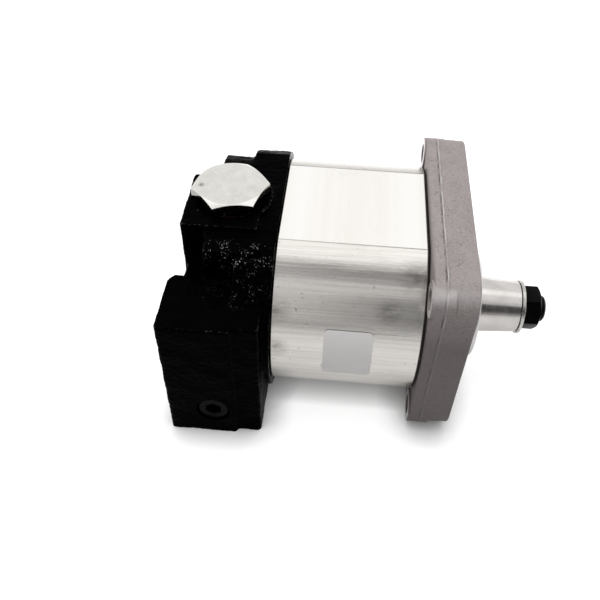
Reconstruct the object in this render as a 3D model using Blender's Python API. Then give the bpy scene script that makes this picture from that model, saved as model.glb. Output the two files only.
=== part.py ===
"""External gear pump with a rectangular flange, a taper shaft and a valve block on its rear cover.

Sizes are in metres. The drive shaft lies along X with its end at +X, the driven gear lies beside it
towards +Y, and +Z is up. Pieces are modelled about the point where the shaft axis crosses the mounting
face. The frame empty then puts the middle of the bounding box's underside at the origin.
"""

import math

import bmesh
import bpy
from mathutils import Matrix, Vector

# Fits
CLEARANCE = 0.0003
TIP_CLEARANCE = 0.00034
BACKLASH = 0.0003

# Facets round a full turn, and how far a cutter runs past what it cuts
FACETS_LARGE = 40
FACETS = 28
FACETS_BORE = 24
FACETS_BOLT = 16
FACETS_PIN = 12
PAST = 0.001

# Mounting flange on the front cover
BOLT_PITCH_Y = 0.100
BOLT_PITCH_Z = 0.072
BOLT_OFFSET_Y = 0.0345
BOLT_HOLE_RADIUS = 0.0045
FLANGE_MARGIN_Y = 0.0087
FLANGE_MARGIN_Z = 0.0101
FLANGE_CORNER = 0.014
FLANGE_THICKNESS = 0.0190
FLANGE_EDGE = 0.0011
EDGE_BEND = 0.3
FLANGE_DRAFT = 0.0003
PARTING_DEPTH = 0.0130
FLASH_HEIGHT = 0.0004
FLASH_WIDTH = 0.0009
JOINT_PAD_HEIGHT = 0.0008
BOLT_PAD_RADIUS = 0.0078
SPIGOT_RADIUS = 0.025
SPIGOT_LENGTH = 0.0068
SPIGOT_CHAMFER = 0.0008

# Body
CENTRE_DISTANCE = 0.033
BODY_RADIUS = 0.0415
BODY_HALF_WIDTH = 0.04025
BODY_LENGTH = 0.0636
SUCTION_CHANNEL_RADIUS = 0.0080
PRESSURE_CHANNEL_RADIUS = 0.0065
CHANNEL_OFFSET = 0.0170

# Gears
TEETH = 12
GEAR_WIDTH = 0.037
PRESSURE_ANGLE = math.radians(26)
ADDENDUM = 0.95
DEDENDUM = 1.12
ROOT_FILLET = 0.2
FLANK_STEPS = 2
CHANNEL_REACH = 0.25

# Bearings
BUSH_WALL = 0.0012
BLOCK_WEB = 0.0017
RELIEF_SLOT_WIDTH = 0.0050
RELIEF_SLOT_LENGTH = 0.0070
RELIEF_SLOT_DEPTH = 0.0015

# Seals
BODY_SEAL_WALL = 0.0013
BODY_SEAL_WIDTH = 0.0018
PRESSURE_SEAL_WIDTH = 0.0016
PRESSURE_SEAL_DEPTH = 0.0016
PRESSURE_SEAL_START = math.radians(38)
PRESSURE_SEAL_SPUR = 0.0010
SHAFT_SEAL_HEIGHT = 0.0060
SHAFT_SEAL_WIDTH = 0.0070
SHAFT_SEAL_LIP = 0.0012
RETAINER_WIDTH = 0.0012
RETAINER_HEIGHT = 0.0026
RETAINER_GROOVE = 0.0010
RETAINER_LUG = 0.0014
RETAINER_LUG_LENGTH = 0.0027
RETAINER_NECK = 0.0008
RETAINER_EYE_RADIUS = 0.0007
RETAINER_GAP = math.radians(34)
RETAINER_SETBACK = 0.0013

# Shaft end
TAPER_START = 0.0082
TAPER_STEP = 0.0001
TAPER_RATIO = 1 / 8
TAPER_END = 0.0273
THREAD_RADIUS = 0.0060
THREAD_CHAMFER = 0.0007
THREAD_PROUD = 0.0028
WASHER_RADIUS = 0.0124
WASHER_THICKNESS = 0.0015
WASHER_EDGE = 0.0002
NUT_ACROSS_FLATS = 0.0180
NUT_HEIGHT = 0.0076
NUT_TURN = math.radians(-1)
KEY_WIDTH = 0.0040
KEY_RADIUS = 0.0065
KEY_HEIGHT = 0.0050
KEY_PROUD = 0.0016
KEY_PLACE = 0.0180

# Chamfer on hexagons: its slope, and its inner edge as a share of the flats
HEX_CHAMFER_SLOPE = math.tan(math.radians(30))
HEX_CHAMFER_START = 0.97

# Through bolts and dowels
THROUGH_BOLT_EDGE = 0.0075
THROUGH_BOLT_INSET = 0.01621
THROUGH_BOLT_RADIUS = 0.0040
BOLT_HEAD_RADIUS = 0.0065
BOLT_HEAD_HEIGHT = 0.0080
BOLT_HEAD_SINK = 0.0010
BOLT_CHAMFER = 0.0006
BOLT_SOCKET = 0.0060
BOLT_SOCKET_DEPTH = 0.0040
BOLT_ENGAGEMENT = 0.0125
DOWEL_RADIUS = 0.0025
DOWEL_LENGTH = 0.0100
DOWEL_EDGE = 0.00725
DOWEL_CHAMFER = 0.0005

# Rear cover plate
PLATE_THICKNESS = 0.0166
PLATE_OVERHANG = 0.0033
PLATE_FLAT_OVERHANG = 0.00175
PLATE_EDGE = 0.0018

# Valve block behind the plate
VALVE_DEPTH = 0.0226
VALVE_PLACE_Y = 0.0118
BLOCK_LENGTH = 0.0247
BLOCK_NEAR_Y = -0.0100
BLOCK_FAR_Y = 0.0250
BLOCK_RISE = 0.0030
BLOCK_INSET = 0.0005
VALVE_BOSS_WALL = 0.0012
SPOTFACE_MARGIN = 0.00018
SPOTFACE_DEPTH = 0.0024
SHOULDER_LENGTH = 0.0132
PORT_BLOCK_LENGTH = 0.0292
PORT_BLOCK_PROUD = 0.0067
PORT_BLOCK_WIDTH = 0.0311
PORT_BLOCK_TOP = 0.0252
PORT_BLOCK_FRONT = 0.0035
PORT_BLOCK_RELIEF = 0.0020
PORT_BLOCK_RELIEF_START = 0.0013
PORT_BLOCK_BEND = 0.0008
CAST_EDGE = 0.0016
CAST_CORNER = 0.0050

# Valve
VALVE_BORE_RADIUS = 0.0090
VALVE_SEAT_RADIUS = 0.0060
VALVE_SEAT_Z = -0.0040
VALVE_FLOOR = 0.0055
PLUG_THREAD_RADIUS = 0.0120
PLUG_THREAD_LENGTH = 0.0140
PLUG_THREAD_CHAMFER = 0.0010
PLUG_ACROSS_FLATS = 0.0300
PLUG_HEX_HEIGHT = 0.0064
PLUG_TURN = math.radians(11.9)
PLUG_SEAL_THICKNESS = 0.0015
PLUG_SEAL_WIDTH = 0.0015
SPRING_POCKET_CLEARANCE = 0.0007
SPRING_POCKET_ROOF = 0.0040
SPRING_RADIUS = 0.0056
SPRING_WIRE = 0.0009
SPRING_TURNS = 6
SPRING_STEPS = 8
POPPET_LENGTH = 0.0150
POPPET_NOSE = 0.0035
POPPET_NOSE_TIP = 0.0028
POPPET_FLATS = 4
POPPET_FLAT = 0.0070
POPPET_GUIDE_LENGTH = 0.0040

# Ports and passages
PRESSURE_PASSAGE_Y = 0.0133
SUCTION_PORT_Y = 0.0380
SUCTION_PORT_RADIUS = 0.0122
SUCTION_PORT_DEPTH = 0.0150
SUCTION_BOSS_RADIUS = 0.0215
SUCTION_BOSS_LENGTH = 0.0137
SUCTION_GALLERY_OVERLAP = 0.0004
SUCTION_GALLERY_REACH = 0.7
PRESSURE_PORT_EDGE = 0.0150
PRESSURE_PORT_RADIUS = 0.0093
PRESSURE_PORT_DEPTH = 0.0120
CROSS_DRILLING_RADIUS = 0.0050
CROSS_DRILLING_RISE = 0.0115
CROSS_DRILLING_SETBACK = 0.0024
SIDE_PLUG_RADIUS = 0.0075
SIDE_PLUG_DEPTH = 0.0090
SIDE_PLUG_SINK = 0.0010
SIDE_PLUG_SOCKET = 0.0070
SIDE_PLUG_SOCKET_DEPTH = 0.0037
SIDE_PLUG_CHAMFER = 0.0009
SIDE_PLUG_SEAL = 0.0015

AXIS_MARK = 0.0200

# Gears, bearings and seals, worked out from the centre distance outwards
MODULE = CENTRE_DISTANCE / TEETH
PITCH_RADIUS = CENTRE_DISTANCE / 2
TIP_RADIUS = PITCH_RADIUS + ADDENDUM * MODULE
ROOT_RADIUS = PITCH_RADIUS - DEDENDUM * MODULE
GEAR_BORE_RADIUS = TIP_RADIUS + TIP_CLEARANCE
JOURNAL_RADIUS = PITCH_RADIUS - BLOCK_WEB - 2 * CLEARANCE - BUSH_WALL
BUSH_INNER = JOURNAL_RADIUS + CLEARANCE
BUSH_OUTER = BUSH_INNER + BUSH_WALL
PRESSURE_SEAL_RADIUS = (BUSH_OUTER + GEAR_BORE_RADIUS) / 2
SHAFT_SEAL_RADIUS = JOURNAL_RADIUS + SHAFT_SEAL_HEIGHT
TAPER_RADIUS = JOURNAL_RADIUS - TAPER_STEP

# Through bolts, dowels and body seal, worked out from the body's sides inwards
THROUGH_BOLT_CIRCLE = BODY_RADIUS - THROUGH_BOLT_EDGE
THROUGH_BOLT_Z = BODY_HALF_WIDTH - THROUGH_BOLT_INSET
THROUGH_BOLT_Y = math.sqrt(THROUGH_BOLT_CIRCLE ** 2 - THROUGH_BOLT_Z ** 2)
DOWEL_OFFSET = BODY_RADIUS - DOWEL_EDGE
BODY_SEAL_RADIUS = (
    THROUGH_BOLT_CIRCLE - THROUGH_BOLT_RADIUS - CLEARANCE - BODY_SEAL_WALL - BODY_SEAL_WIDTH / 2 - CLEARANCE
)

# Flange edges, which take in the mounting holes and the through bolts
BOLT_HEAD_ROOM = BOLT_HEAD_RADIUS + CLEARANCE + FLANGE_EDGE
FLANGE_NEAR_Y = -max(BOLT_OFFSET_Y + FLANGE_MARGIN_Y, THROUGH_BOLT_Y + BOLT_HEAD_ROOM)
FLANGE_FAR_Y = max(
    BOLT_PITCH_Y - BOLT_OFFSET_Y + FLANGE_MARGIN_Y, CENTRE_DISTANCE + THROUGH_BOLT_Y + BOLT_HEAD_ROOM,
)
FLANGE_HALF_HEIGHT = max(BOLT_PITCH_Z / 2 + FLANGE_MARGIN_Z, THROUGH_BOLT_Z + BOLT_HEAD_ROOM)

# Places along the shaft
BODY_FRONT = -FLANGE_THICKNESS - CLEARANCE
BODY_REAR = BODY_FRONT - BODY_LENGTH
GEAR_MIDDLE = (BODY_FRONT + BODY_REAR) / 2
BLOCK_WIDTH = (BODY_LENGTH - GEAR_WIDTH) / 2 - CLEARANCE
PLATE_FRONT = BODY_REAR - CLEARANCE
PLATE_REAR = PLATE_FRONT - PLATE_THICKNESS
BLOCK_REAR = PLATE_REAR - BLOCK_LENGTH
PORT_BLOCK_REAR = PLATE_REAR - PORT_BLOCK_LENGTH
VALVE_X = PLATE_FRONT - VALVE_DEPTH
HEAD_SEAT = -BOLT_HEAD_SINK - BOLT_HEAD_HEIGHT - CLEARANCE
SEAL_FRONT = SPIGOT_LENGTH - RETAINER_SETBACK - RETAINER_WIDTH - CLEARANCE
SEAL_BORE_FLOOR = SEAL_FRONT - SHAFT_SEAL_WIDTH - CLEARANCE
NUT_SEAT = TAPER_END + WASHER_THICKNESS + 2 * CLEARANCE
SHAFT_END = NUT_SEAT + NUT_HEIGHT + THREAD_PROUD

# Rear cover, worked out from the body and the valve plug
PLATE_RADIUS = BODY_RADIUS + PLATE_OVERHANG
PLATE_HALF_WIDTH = BODY_HALF_WIDTH + PLATE_FLAT_OVERHANG
PLATE_HALF_HEIGHT = min(PLATE_HALF_WIDTH, PLATE_RADIUS)
BLOCK_TOP = PLATE_HALF_HEIGHT + BLOCK_RISE
BLOCK_BOTTOM = -PLATE_HALF_HEIGHT + BLOCK_INSET
PORT_BLOCK_NEAR_Y = -PLATE_RADIUS - PORT_BLOCK_PROUD
PORT_BLOCK_FAR_Y = PORT_BLOCK_NEAR_Y + PORT_BLOCK_WIDTH
PORT_BLOCK_BOTTOM = -FLANGE_HALF_HEIGHT
SHOULDER_NEAR_Y = PORT_BLOCK_FAR_Y - CAST_EDGE
SPOTFACE_Z = BLOCK_TOP - SPOTFACE_DEPTH
SPOTFACE_RADIUS = PLUG_ACROSS_FLATS / math.sqrt(3) + SPOTFACE_MARGIN
VALVE_BOSS_RADIUS = SPOTFACE_RADIUS + VALVE_BOSS_WALL
PLUG_TOP = SPOTFACE_Z + PLUG_SEAL_THICKNESS + 2 * CLEARANCE + PLUG_HEX_HEIGHT
PLUG_SEAL_RADIUS = PLUG_THREAD_RADIUS + CLEARANCE + PLUG_SEAL_WIDTH
SPRING_POCKET_RADIUS = SPRING_RADIUS + SPRING_WIRE + SPRING_POCKET_CLEARANCE
POPPET_GUIDE_RADIUS = SPRING_RADIUS - 2 * SPRING_WIRE
SUCTION_PORT_Z = PLATE_HALF_HEIGHT - SUCTION_BOSS_RADIUS
SUCTION_PORT_FLOOR = PLATE_REAR - SUCTION_BOSS_LENGTH + SUCTION_PORT_DEPTH
PRESSURE_PORT_Y = PORT_BLOCK_NEAR_Y + PRESSURE_PORT_EDGE
CROSS_DRILLING_Z = BLOCK_BOTTOM + CROSS_DRILLING_RISE
SIDE_PLUG_SPOT = (CROSS_DRILLING_Z, VALVE_X - CROSS_DRILLING_SETBACK)

# From the shaft axis at the mounting face to the middle of the bounding box's underside
FRAME_OFFSET = Vector((
    -(SHAFT_END + PORT_BLOCK_REAR) / 2,
    -(PORT_BLOCK_NEAR_Y + CENTRE_DISTANCE + PLATE_RADIUS) / 2,
    FLANGE_HALF_HEIGHT,
))


# Outlines in a plane, as lists of points


def arc(centre, radius, start, end, steps):
    """Points on an arc, both ends included."""
    angles = [start + (end - start) * i / steps for i in range(steps + 1)]
    return [(centre[0] + radius * math.cos(a), centre[1] + radius * math.sin(a)) for a in angles]


def circle(centre, radius, steps):
    """Points round a full circle."""
    return arc(centre, radius, 0, math.tau, steps)[:-1]


def rounded(corners, steps=4):
    """A polygon from corners (u, v, radius), each rounded by an arc."""
    points = []
    for i, (u, v, radius) in enumerate(corners):
        here = Vector((u, v))
        before = (Vector(corners[i - 1][:2]) - here).normalized()
        after = (Vector(corners[(i + 1) % len(corners)][:2]) - here).normalized()
        if radius == 0:
            points.append((u, v))
            continue
        half = before.angle(after) / 2
        centre = here + (before + after).normalized() * radius / math.sin(half)
        first = here + before * radius / math.tan(half) - centre
        last = here + after * radius / math.tan(half) - centre
        turn = first.angle_signed(last)
        for k in range(steps + 1):
            point = centre + Matrix.Rotation(-turn * k / steps, 2) @ first
            points.append((point.x, point.y))
    return points


def rectangle(u0, u1, v0, v1, radius=0.0):
    """A rectangle with equal corner radii."""
    return rounded([(u0, v0, radius), (u1, v0, radius), (u1, v1, radius), (u0, v1, radius)])


def stadium(radius, half_width, steps=16):
    """Two arcs about the gear axes, cut by flats at half_width above and below."""
    reach = math.asin(min(1, half_width / radius))
    far = arc((CENTRE_DISTANCE, 0), radius, -reach, reach, steps)
    near = arc((0, 0), radius, math.pi - reach, math.pi + reach, steps)
    return far + near


def figure_eight(radius, steps=16):
    """The union of two circles about the gear axes."""
    waist = math.acos(PITCH_RADIUS / radius)
    far = arc((CENTRE_DISTANCE, 0), radius, waist - math.pi, math.pi - waist, steps)
    near = arc((0, 0), radius, waist, math.tau - waist, steps)
    return far[:-1] + near[:-1]


def hexagon(centre, across_flats, turn=0.0):
    """A regular hexagon whose first corner points along turn."""
    return arc(centre, across_flats / math.sqrt(3), turn, turn + math.tau, 6)[:-1]


def involute(angle):
    """The involute function."""
    return math.tan(angle) - angle


def tooth_half_angle(radius):
    """Half of the angle that a tooth covers at a radius."""
    base = PITCH_RADIUS * math.cos(PRESSURE_ANGLE)
    thickness = math.pi * MODULE / 2 - BACKLASH / 2
    here = math.acos(min(1, base / radius))
    return thickness / (2 * PITCH_RADIUS) + involute(PRESSURE_ANGLE) - involute(here)


def gear_outline(centre, phase):
    """A gear's outline with involute flanks, a tooth centred on the angle phase."""
    base = PITCH_RADIUS * math.cos(PRESSURE_ANGLE)
    foot = max(base, ROOT_RADIUS)
    radii = [foot + (TIP_RADIUS - foot) * k / FLANK_STEPS for k in range(FLANK_STEPS + 1)]
    fillet = ROOT_FILLET * MODULE
    flank = [(ROOT_RADIUS, tooth_half_angle(foot) + fillet / ROOT_RADIUS)]
    flank.append((ROOT_RADIUS + fillet, tooth_half_angle(foot)))
    flank.extend((radius, tooth_half_angle(radius)) for radius in radii)
    points = []
    for tooth in range(TEETH):
        middle = phase + math.tau * tooth / TEETH
        for radius, half in flank:
            points.append((radius, middle - half))
        for radius, half in reversed(flank):
            points.append((radius, middle + half))
    return [(centre[0] + r * math.cos(a), centre[1] + r * math.sin(a)) for r, a in points]


# Solids as meshes


def place(axis, along, u, v):
    """The point at a distance along an axis, with u and v in the plane across it."""
    turn = "XYZ".index(axis)
    return Vector([(along, u, v)[(k - turn) % 3] for k in range(3)])


def finish(bm):
    """Merge doubled points, turn all faces outwards and return the mesh."""
    bmesh.ops.remove_doubles(bm, verts=bm.verts, dist=1e-7)
    bmesh.ops.recalc_face_normals(bm, faces=bm.faces)
    mesh = bpy.data.meshes.new("shape")
    bm.to_mesh(mesh)
    bm.free()
    return mesh


def prism(outline, low, high, axis="X"):
    """An outline pulled straight along an axis."""
    bm = bmesh.new()
    face = bm.faces.new([bm.verts.new(place(axis, low, u, v)) for u, v in outline])
    pulled = bmesh.ops.extrude_face_region(bm, geom=[face])["geom"]
    verts = [item for item in pulled if isinstance(item, bmesh.types.BMVert)]
    bmesh.ops.translate(bm, verts=verts, vec=place(axis, high - low, 0, 0))
    return finish(bm)


def loft(sections, axis="X"):
    """Sections (distance, outline) of equal point counts, joined and capped."""
    bm = bmesh.new()
    rings = [[bm.verts.new(place(axis, along, u, v)) for u, v in outline] for along, outline in sections]
    count = len(rings[0])
    for first, second in zip(rings, rings[1:]):
        for i in range(count):
            j = (i + 1) % count
            bm.faces.new((first[i], first[j], second[j], second[i]))
    bm.faces.new(rings[0])
    bm.faces.new(rings[-1])
    return finish(bm)


def band(outer, inner, low, high, axis="X"):
    """A closed wall between an outer and an inner outline of equal point counts."""
    bm = bmesh.new()
    rings = []
    for along, outline in ((low, outer), (high, outer), (high, inner), (low, inner)):
        rings.append([bm.verts.new(place(axis, along, u, v)) for u, v in outline])
    count = len(outer)
    for k, ring in enumerate(rings):
        after = rings[(k + 1) % 4]
        for i in range(count):
            j = (i + 1) % count
            bm.faces.new((ring[i], ring[j], after[j], after[i]))
    return finish(bm)


def turned(profile, segments, axis="X", centre=(0, 0), ring=False):
    """A profile of (distance along the axis, radius) spun round an axis, as a solid or as a ring."""
    bm = bmesh.new()
    verts = [bm.verts.new(place(axis, along, radius, 0)) for along, radius in profile]
    edges = [bm.edges.new(pair) for pair in zip(verts, verts[1:])]
    if ring:
        edges.append(bm.edges.new((verts[-1], verts[0])))
    bmesh.ops.spin(
        bm, geom=verts + edges, cent=(0, 0, 0), axis=place(axis, 1, 0, 0), angle=math.tau,
        steps=segments, use_merge=True,
    )
    bmesh.ops.remove_doubles(bm, verts=bm.verts, dist=1e-7)
    if not ring:
        bmesh.ops.holes_fill(bm, edges=[edge for edge in bm.edges if edge.is_boundary], sides=0)
    bmesh.ops.translate(bm, verts=bm.verts, vec=place(axis, 0, *centre))
    return finish(bm)


def drill(centre, radius, low, high, axis="X", segments=FACETS_BORE):
    """A plain cylinder."""
    return prism(circle(centre, radius, segments), low, high, axis)


def gathered(meshes):
    """One mesh from several shapes that stay clear of each other."""
    bm = bmesh.new()
    for mesh in meshes:
        bm.from_mesh(mesh)
        bpy.data.meshes.remove(mesh)
    return finish(bm)


# Objects


def material(name, colour, roughness, metallic):
    """A plain finish."""
    finish_of = bpy.data.materials.new(name)
    finish_of.use_nodes = True
    shader = finish_of.node_tree.nodes["Principled BSDF"]
    shader.inputs["Base Color"].default_value = (*colour, 1)
    shader.inputs["Roughness"].default_value = roughness
    shader.inputs["Metallic"].default_value = metallic
    finish_of.diffuse_color = (*colour, 1)
    return finish_of


def add(name, mesh, finish_of, parent, smooth=True):
    """A named sub-part under its parent."""
    mesh.name = name
    piece = bpy.data.objects.new(name, mesh)
    bpy.context.collection.objects.link(piece)
    piece.data.materials.append(finish_of)
    piece.parent = parent
    if smooth:
        mesh.shade_smooth()
        mesh.set_sharp_from_angle(angle=math.radians(32))
    return piece


def tool(target, name, mesh, operation="DIFFERENCE", bevel=0.0):
    """A hidden shape that is cut from a sub-part or joined to it."""
    shape = bpy.data.objects.new(f"tool_{name}", mesh)
    bpy.context.collection.objects.link(shape)
    shape.parent = target.parent
    shape.location = target.location
    shape.hide_render = True
    shape.display_type = "WIRE"
    if bevel:
        soften(shape, bevel)
    step = target.modifiers.new(name, "BOOLEAN")
    step.operation = operation
    step.solver = "EXACT"
    step.object = shape
    return shape


def soften(piece, width, segments=2):
    """Round a piece's sharp edges."""
    step = piece.modifiers.new("edges", "BEVEL")
    step.width = width
    step.segments = segments
    step.limit_method = "ANGLE"
    step.angle_limit = math.radians(50)
    step.use_clamp_overlap = True


def empty(name, place_at, parent=None):
    """An axis or frame that carries pieces."""
    axis = bpy.data.objects.new(name, None)
    bpy.context.collection.objects.link(axis)
    axis.empty_display_size = AXIS_MARK
    axis.location = place_at
    axis.parent = parent
    return axis


# Sub-parts


def through_bolt_places():
    """Where the four through bolts run, as (y, z)."""
    low, high = -THROUGH_BOLT_Y, CENTRE_DISTANCE + THROUGH_BOLT_Y
    return [(y, z) for y in (low, high) for z in (-THROUGH_BOLT_Z, THROUGH_BOLT_Z)]


def flange_bolt_places():
    """Where the four mounting bolts go, as (y, z)."""
    low, high = -BOLT_OFFSET_Y, BOLT_PITCH_Y - BOLT_OFFSET_Y
    return [(y, z) for y in (low, high) for z in (-BOLT_PITCH_Z / 2, BOLT_PITCH_Z / 2)]


def dowel_places():
    """Where the dowels sit at each joint, at the ends of its long axis, as (y, z)."""
    return [(-DOWEL_OFFSET, 0), (CENTRE_DISTANCE + DOWEL_OFFSET, 0)]


def bolt_holes(low, high):
    """The four plain holes round the through bolts."""
    radius = THROUGH_BOLT_RADIUS + CLEARANCE
    return gathered([drill(spot, radius, low, high, segments=FACETS_BOLT) for spot in through_bolt_places()])


def dowel_holes(low, high):
    """The two holes round the dowels of a joint."""
    radius = DOWEL_RADIUS + CLEARANCE
    return gathered([drill(spot, radius, low, high, segments=FACETS_PIN) for spot in dowel_places()])


def flange_outline(inset):
    """The flange's rectangle, moved in by inset."""
    return rectangle(
        FLANGE_NEAR_Y + inset, FLANGE_FAR_Y - inset, -FLANGE_HALF_HEIGHT + inset, FLANGE_HALF_HEIGHT - inset,
        FLANGE_CORNER - inset,
    )


def front_cover(frame, iron):
    """The cast front cover: flange with its parting line, joint pad, spigot and bores."""
    rim_back = -FLANGE_THICKNESS + JOINT_PAD_HEIGHT
    flash = FLANGE_DRAFT + FLASH_HEIGHT
    sections = [
        (0, flange_outline(flash + FLANGE_EDGE / 2)),
        (-FLANGE_EDGE / 2, flange_outline(flash)),
        (-PARTING_DEPTH + FLASH_WIDTH / 2, flange_outline(FLASH_HEIGHT)),
        (-PARTING_DEPTH, flange_outline(0)),
        (-PARTING_DEPTH - FLASH_WIDTH / 2, flange_outline(FLASH_HEIGHT)),
        (rim_back + FLANGE_EDGE, flange_outline(flash)),
        (rim_back + FLANGE_EDGE * EDGE_BEND, flange_outline(flash + FLANGE_EDGE * EDGE_BEND)),
        (rim_back, flange_outline(flash + FLANGE_EDGE)),
    ]
    cover = add("front_cover", loft(sections), iron, frame)
    overlap = FLANGE_THICKNESS / 2
    pad = prism(stadium(BODY_RADIUS, BODY_HALF_WIDTH), -overlap, -FLANGE_THICKNESS)
    tool(cover, "joint_pad", pad, "UNION")
    pads = [drill(spot, BOLT_PAD_RADIUS, -overlap, -FLANGE_THICKNESS) for spot in flange_bolt_places()]
    tool(cover, "bolt_pads", gathered(pads), "UNION")
    spigot = turned(
        [(-overlap, SPIGOT_RADIUS), (SPIGOT_LENGTH - SPIGOT_CHAMFER, SPIGOT_RADIUS),
         (SPIGOT_LENGTH, SPIGOT_RADIUS - SPIGOT_CHAMFER)], FACETS_LARGE)
    tool(cover, "spigot", spigot, "UNION")
    far_back, far_front = -FLANGE_THICKNESS - PAST, SPIGOT_LENGTH + PAST
    groove_front = SPIGOT_LENGTH - RETAINER_SETBACK + CLEARANCE
    groove_back = groove_front - RETAINER_WIDTH - 2 * CLEARANCE
    shaft_hole = JOURNAL_RADIUS + 2 * CLEARANCE
    groove = SHAFT_SEAL_RADIUS + RETAINER_GROOVE
    bore = turned(
        [(far_back, shaft_hole), (SEAL_BORE_FLOOR, shaft_hole),
         (SEAL_BORE_FLOOR, SHAFT_SEAL_RADIUS), (groove_back, SHAFT_SEAL_RADIUS),
         (groove_back, groove), (groove_front, groove),
         (groove_front, SHAFT_SEAL_RADIUS), (far_front, SHAFT_SEAL_RADIUS)], FACETS)
    tool(cover, "shaft_bore", bore)
    holes = [drill(spot, BOLT_HOLE_RADIUS, far_back, far_front) for spot in flange_bolt_places()]
    tool(cover, "mounting_holes", gathered(holes))
    counterbore = [
        (far_back, THROUGH_BOLT_RADIUS + CLEARANCE), (HEAD_SEAT, THROUGH_BOLT_RADIUS + CLEARANCE),
        (HEAD_SEAT, BOLT_HEAD_RADIUS + CLEARANCE), (far_front, BOLT_HEAD_RADIUS + CLEARANCE),
    ]
    holes = [turned(counterbore, FACETS_BOLT, centre=spot) for spot in through_bolt_places()]
    tool(cover, "counterbores", gathered(holes))
    tool(cover, "dowel_holes", dowel_holes(far_back, -FLANGE_THICKNESS + DOWEL_LENGTH / 2))
    return cover


def pump_body(frame, aluminium):
    """The extruded body: gear chamber, channels to the rear cover, bolt holes and seal grooves."""
    extrusion = prism(stadium(BODY_RADIUS, BODY_HALF_WIDTH), BODY_REAR, BODY_FRONT)
    body = add("pump_body", extrusion, aluminium, frame)
    far_back, far_front = BODY_REAR - PAST, BODY_FRONT + PAST
    tool(body, "gear_chamber", prism(figure_eight(GEAR_BORE_RADIUS), far_back, far_front))
    channel_end = GEAR_MIDDLE + GEAR_WIDTH * CHANNEL_REACH
    suction = drill((PITCH_RADIUS, CHANNEL_OFFSET), SUCTION_CHANNEL_RADIUS, far_back, channel_end)
    tool(body, "suction_channel", suction)
    pressure = drill((PITCH_RADIUS, -CHANNEL_OFFSET), PRESSURE_CHANNEL_RADIUS, far_back, channel_end)
    tool(body, "pressure_channel", pressure)
    tool(body, "bolt_holes", bolt_holes(far_back, far_front))
    half = BODY_SEAL_WIDTH / 2 + CLEARANCE
    outer = stadium(BODY_SEAL_RADIUS + half, BODY_SEAL_RADIUS + half)
    inner = stadium(BODY_SEAL_RADIUS - half, BODY_SEAL_RADIUS - half)
    for name, end, side in (("front", BODY_FRONT, 1), ("rear", BODY_REAR, -1)):
        outside = end + side * PAST
        holes = sorted((end - side * DOWEL_LENGTH / 2, outside))
        tool(body, f"{name}_dowel_holes", dowel_holes(*holes))
        groove = sorted((end - side * (BODY_SEAL_WIDTH + CLEARANCE), outside))
        tool(body, f"{name}_seal_groove", band(outer, inner, *groove))
    return body


def block_shape(frame, name, face, side, aluminium):
    """A floating bearing block; face is its gear side and side points from there to its cover."""
    back = face + side * BLOCK_WIDTH
    low, high = sorted((face, back))
    block = add(name, prism(figure_eight(GEAR_BORE_RADIUS - CLEARANCE), low, high), aluminium, frame)
    radius = BUSH_OUTER + CLEARANCE
    bores = [drill((y, 0), radius, low - PAST, high + PAST) for y in (0, CENTRE_DISTANCE)]
    tool(block, "bush_bores", gathered(bores))
    groove = sorted((back - side * (PRESSURE_SEAL_DEPTH + CLEARANCE), back + side * PAST))
    half = PRESSURE_SEAL_WIDTH / 2 + CLEARANCE
    tool(block, "seal_groove", prism(seal_outline(half, CLEARANCE), *groove))
    slot = sorted((face + side * RELIEF_SLOT_DEPTH, face - side * PAST))
    near, far = PITCH_RADIUS - RELIEF_SLOT_WIDTH / 2, PITCH_RADIUS + RELIEF_SLOT_WIDTH / 2
    waist = math.sqrt(GEAR_BORE_RADIUS ** 2 - PITCH_RADIUS ** 2)
    slots = []
    for sign in (-1, 1):
        low, high = sorted((sign * (waist - RELIEF_SLOT_LENGTH / 2), sign * (waist + PAST)))
        slots.append(prism(rectangle(near, far, low, high), *slot))
    tool(block, "relief_slots", gathered(slots))
    return block


def seal_outline(half_width, end_gap=0.0):
    """The three-shaped pressure seal: an arc round each journal on the suction side, joined at the waist."""
    turn = PRESSURE_SEAL_START + end_gap / PRESSURE_SEAL_RADIUS

    def arcs(reach):
        waist = math.acos(min(1, PITCH_RADIUS / reach))
        meet = max(waist, (PRESSURE_SEAL_SPUR - end_gap) / reach)
        far = arc((CENTRE_DISTANCE, 0), reach, -turn, math.pi - meet, 10)
        near = arc((0, 0), reach, meet, math.pi + turn, 10)
        return far + near

    return arcs(PRESSURE_SEAL_RADIUS + half_width) + arcs(PRESSURE_SEAL_RADIUS - half_width)[::-1]


def pressure_seal(frame, name, back, side, rubber):
    """The seal in a bearing block's back."""
    low, high = sorted((back, back - side * PRESSURE_SEAL_DEPTH))
    return add(name, prism(seal_outline(PRESSURE_SEAL_WIDTH / 2), low, high), rubber, frame)


def ring_path(name, along, radius, section, rubber, frame):
    """A round rubber cord laid along a stadium."""
    curve = bpy.data.curves.new(name, "CURVE")
    curve.dimensions = "3D"
    curve.bevel_depth = section
    curve.bevel_resolution = 1
    points = stadium(radius, radius, 10)
    line = curve.splines.new("POLY")
    line.points.add(len(points) - 1)
    for point, (y, z) in zip(line.points, points):
        point.co = (along, y, z, 1)
    line.use_cyclic_u = True
    seal = bpy.data.objects.new(name, curve)
    bpy.context.collection.objects.link(seal)
    seal.data.materials.append(rubber)
    seal.parent = frame
    return seal


def bearing_bush(frame, name, face, side, y, bronze):
    """A plain bush pressed into a bearing block."""
    low, high = sorted((face + side * CLEARANCE, face + side * (BLOCK_WIDTH - CLEARANCE)))
    profile = [(low, BUSH_OUTER), (high, BUSH_OUTER), (high, BUSH_INNER), (low, BUSH_INNER)]
    return add(name, turned(profile, FACETS_BORE, centre=(y, 0), ring=True), bronze, frame)


def taper_radius(along):
    """The shaft's radius on its taper."""
    return TAPER_RADIUS - (along - TAPER_START) * TAPER_RATIO / 2


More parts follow.
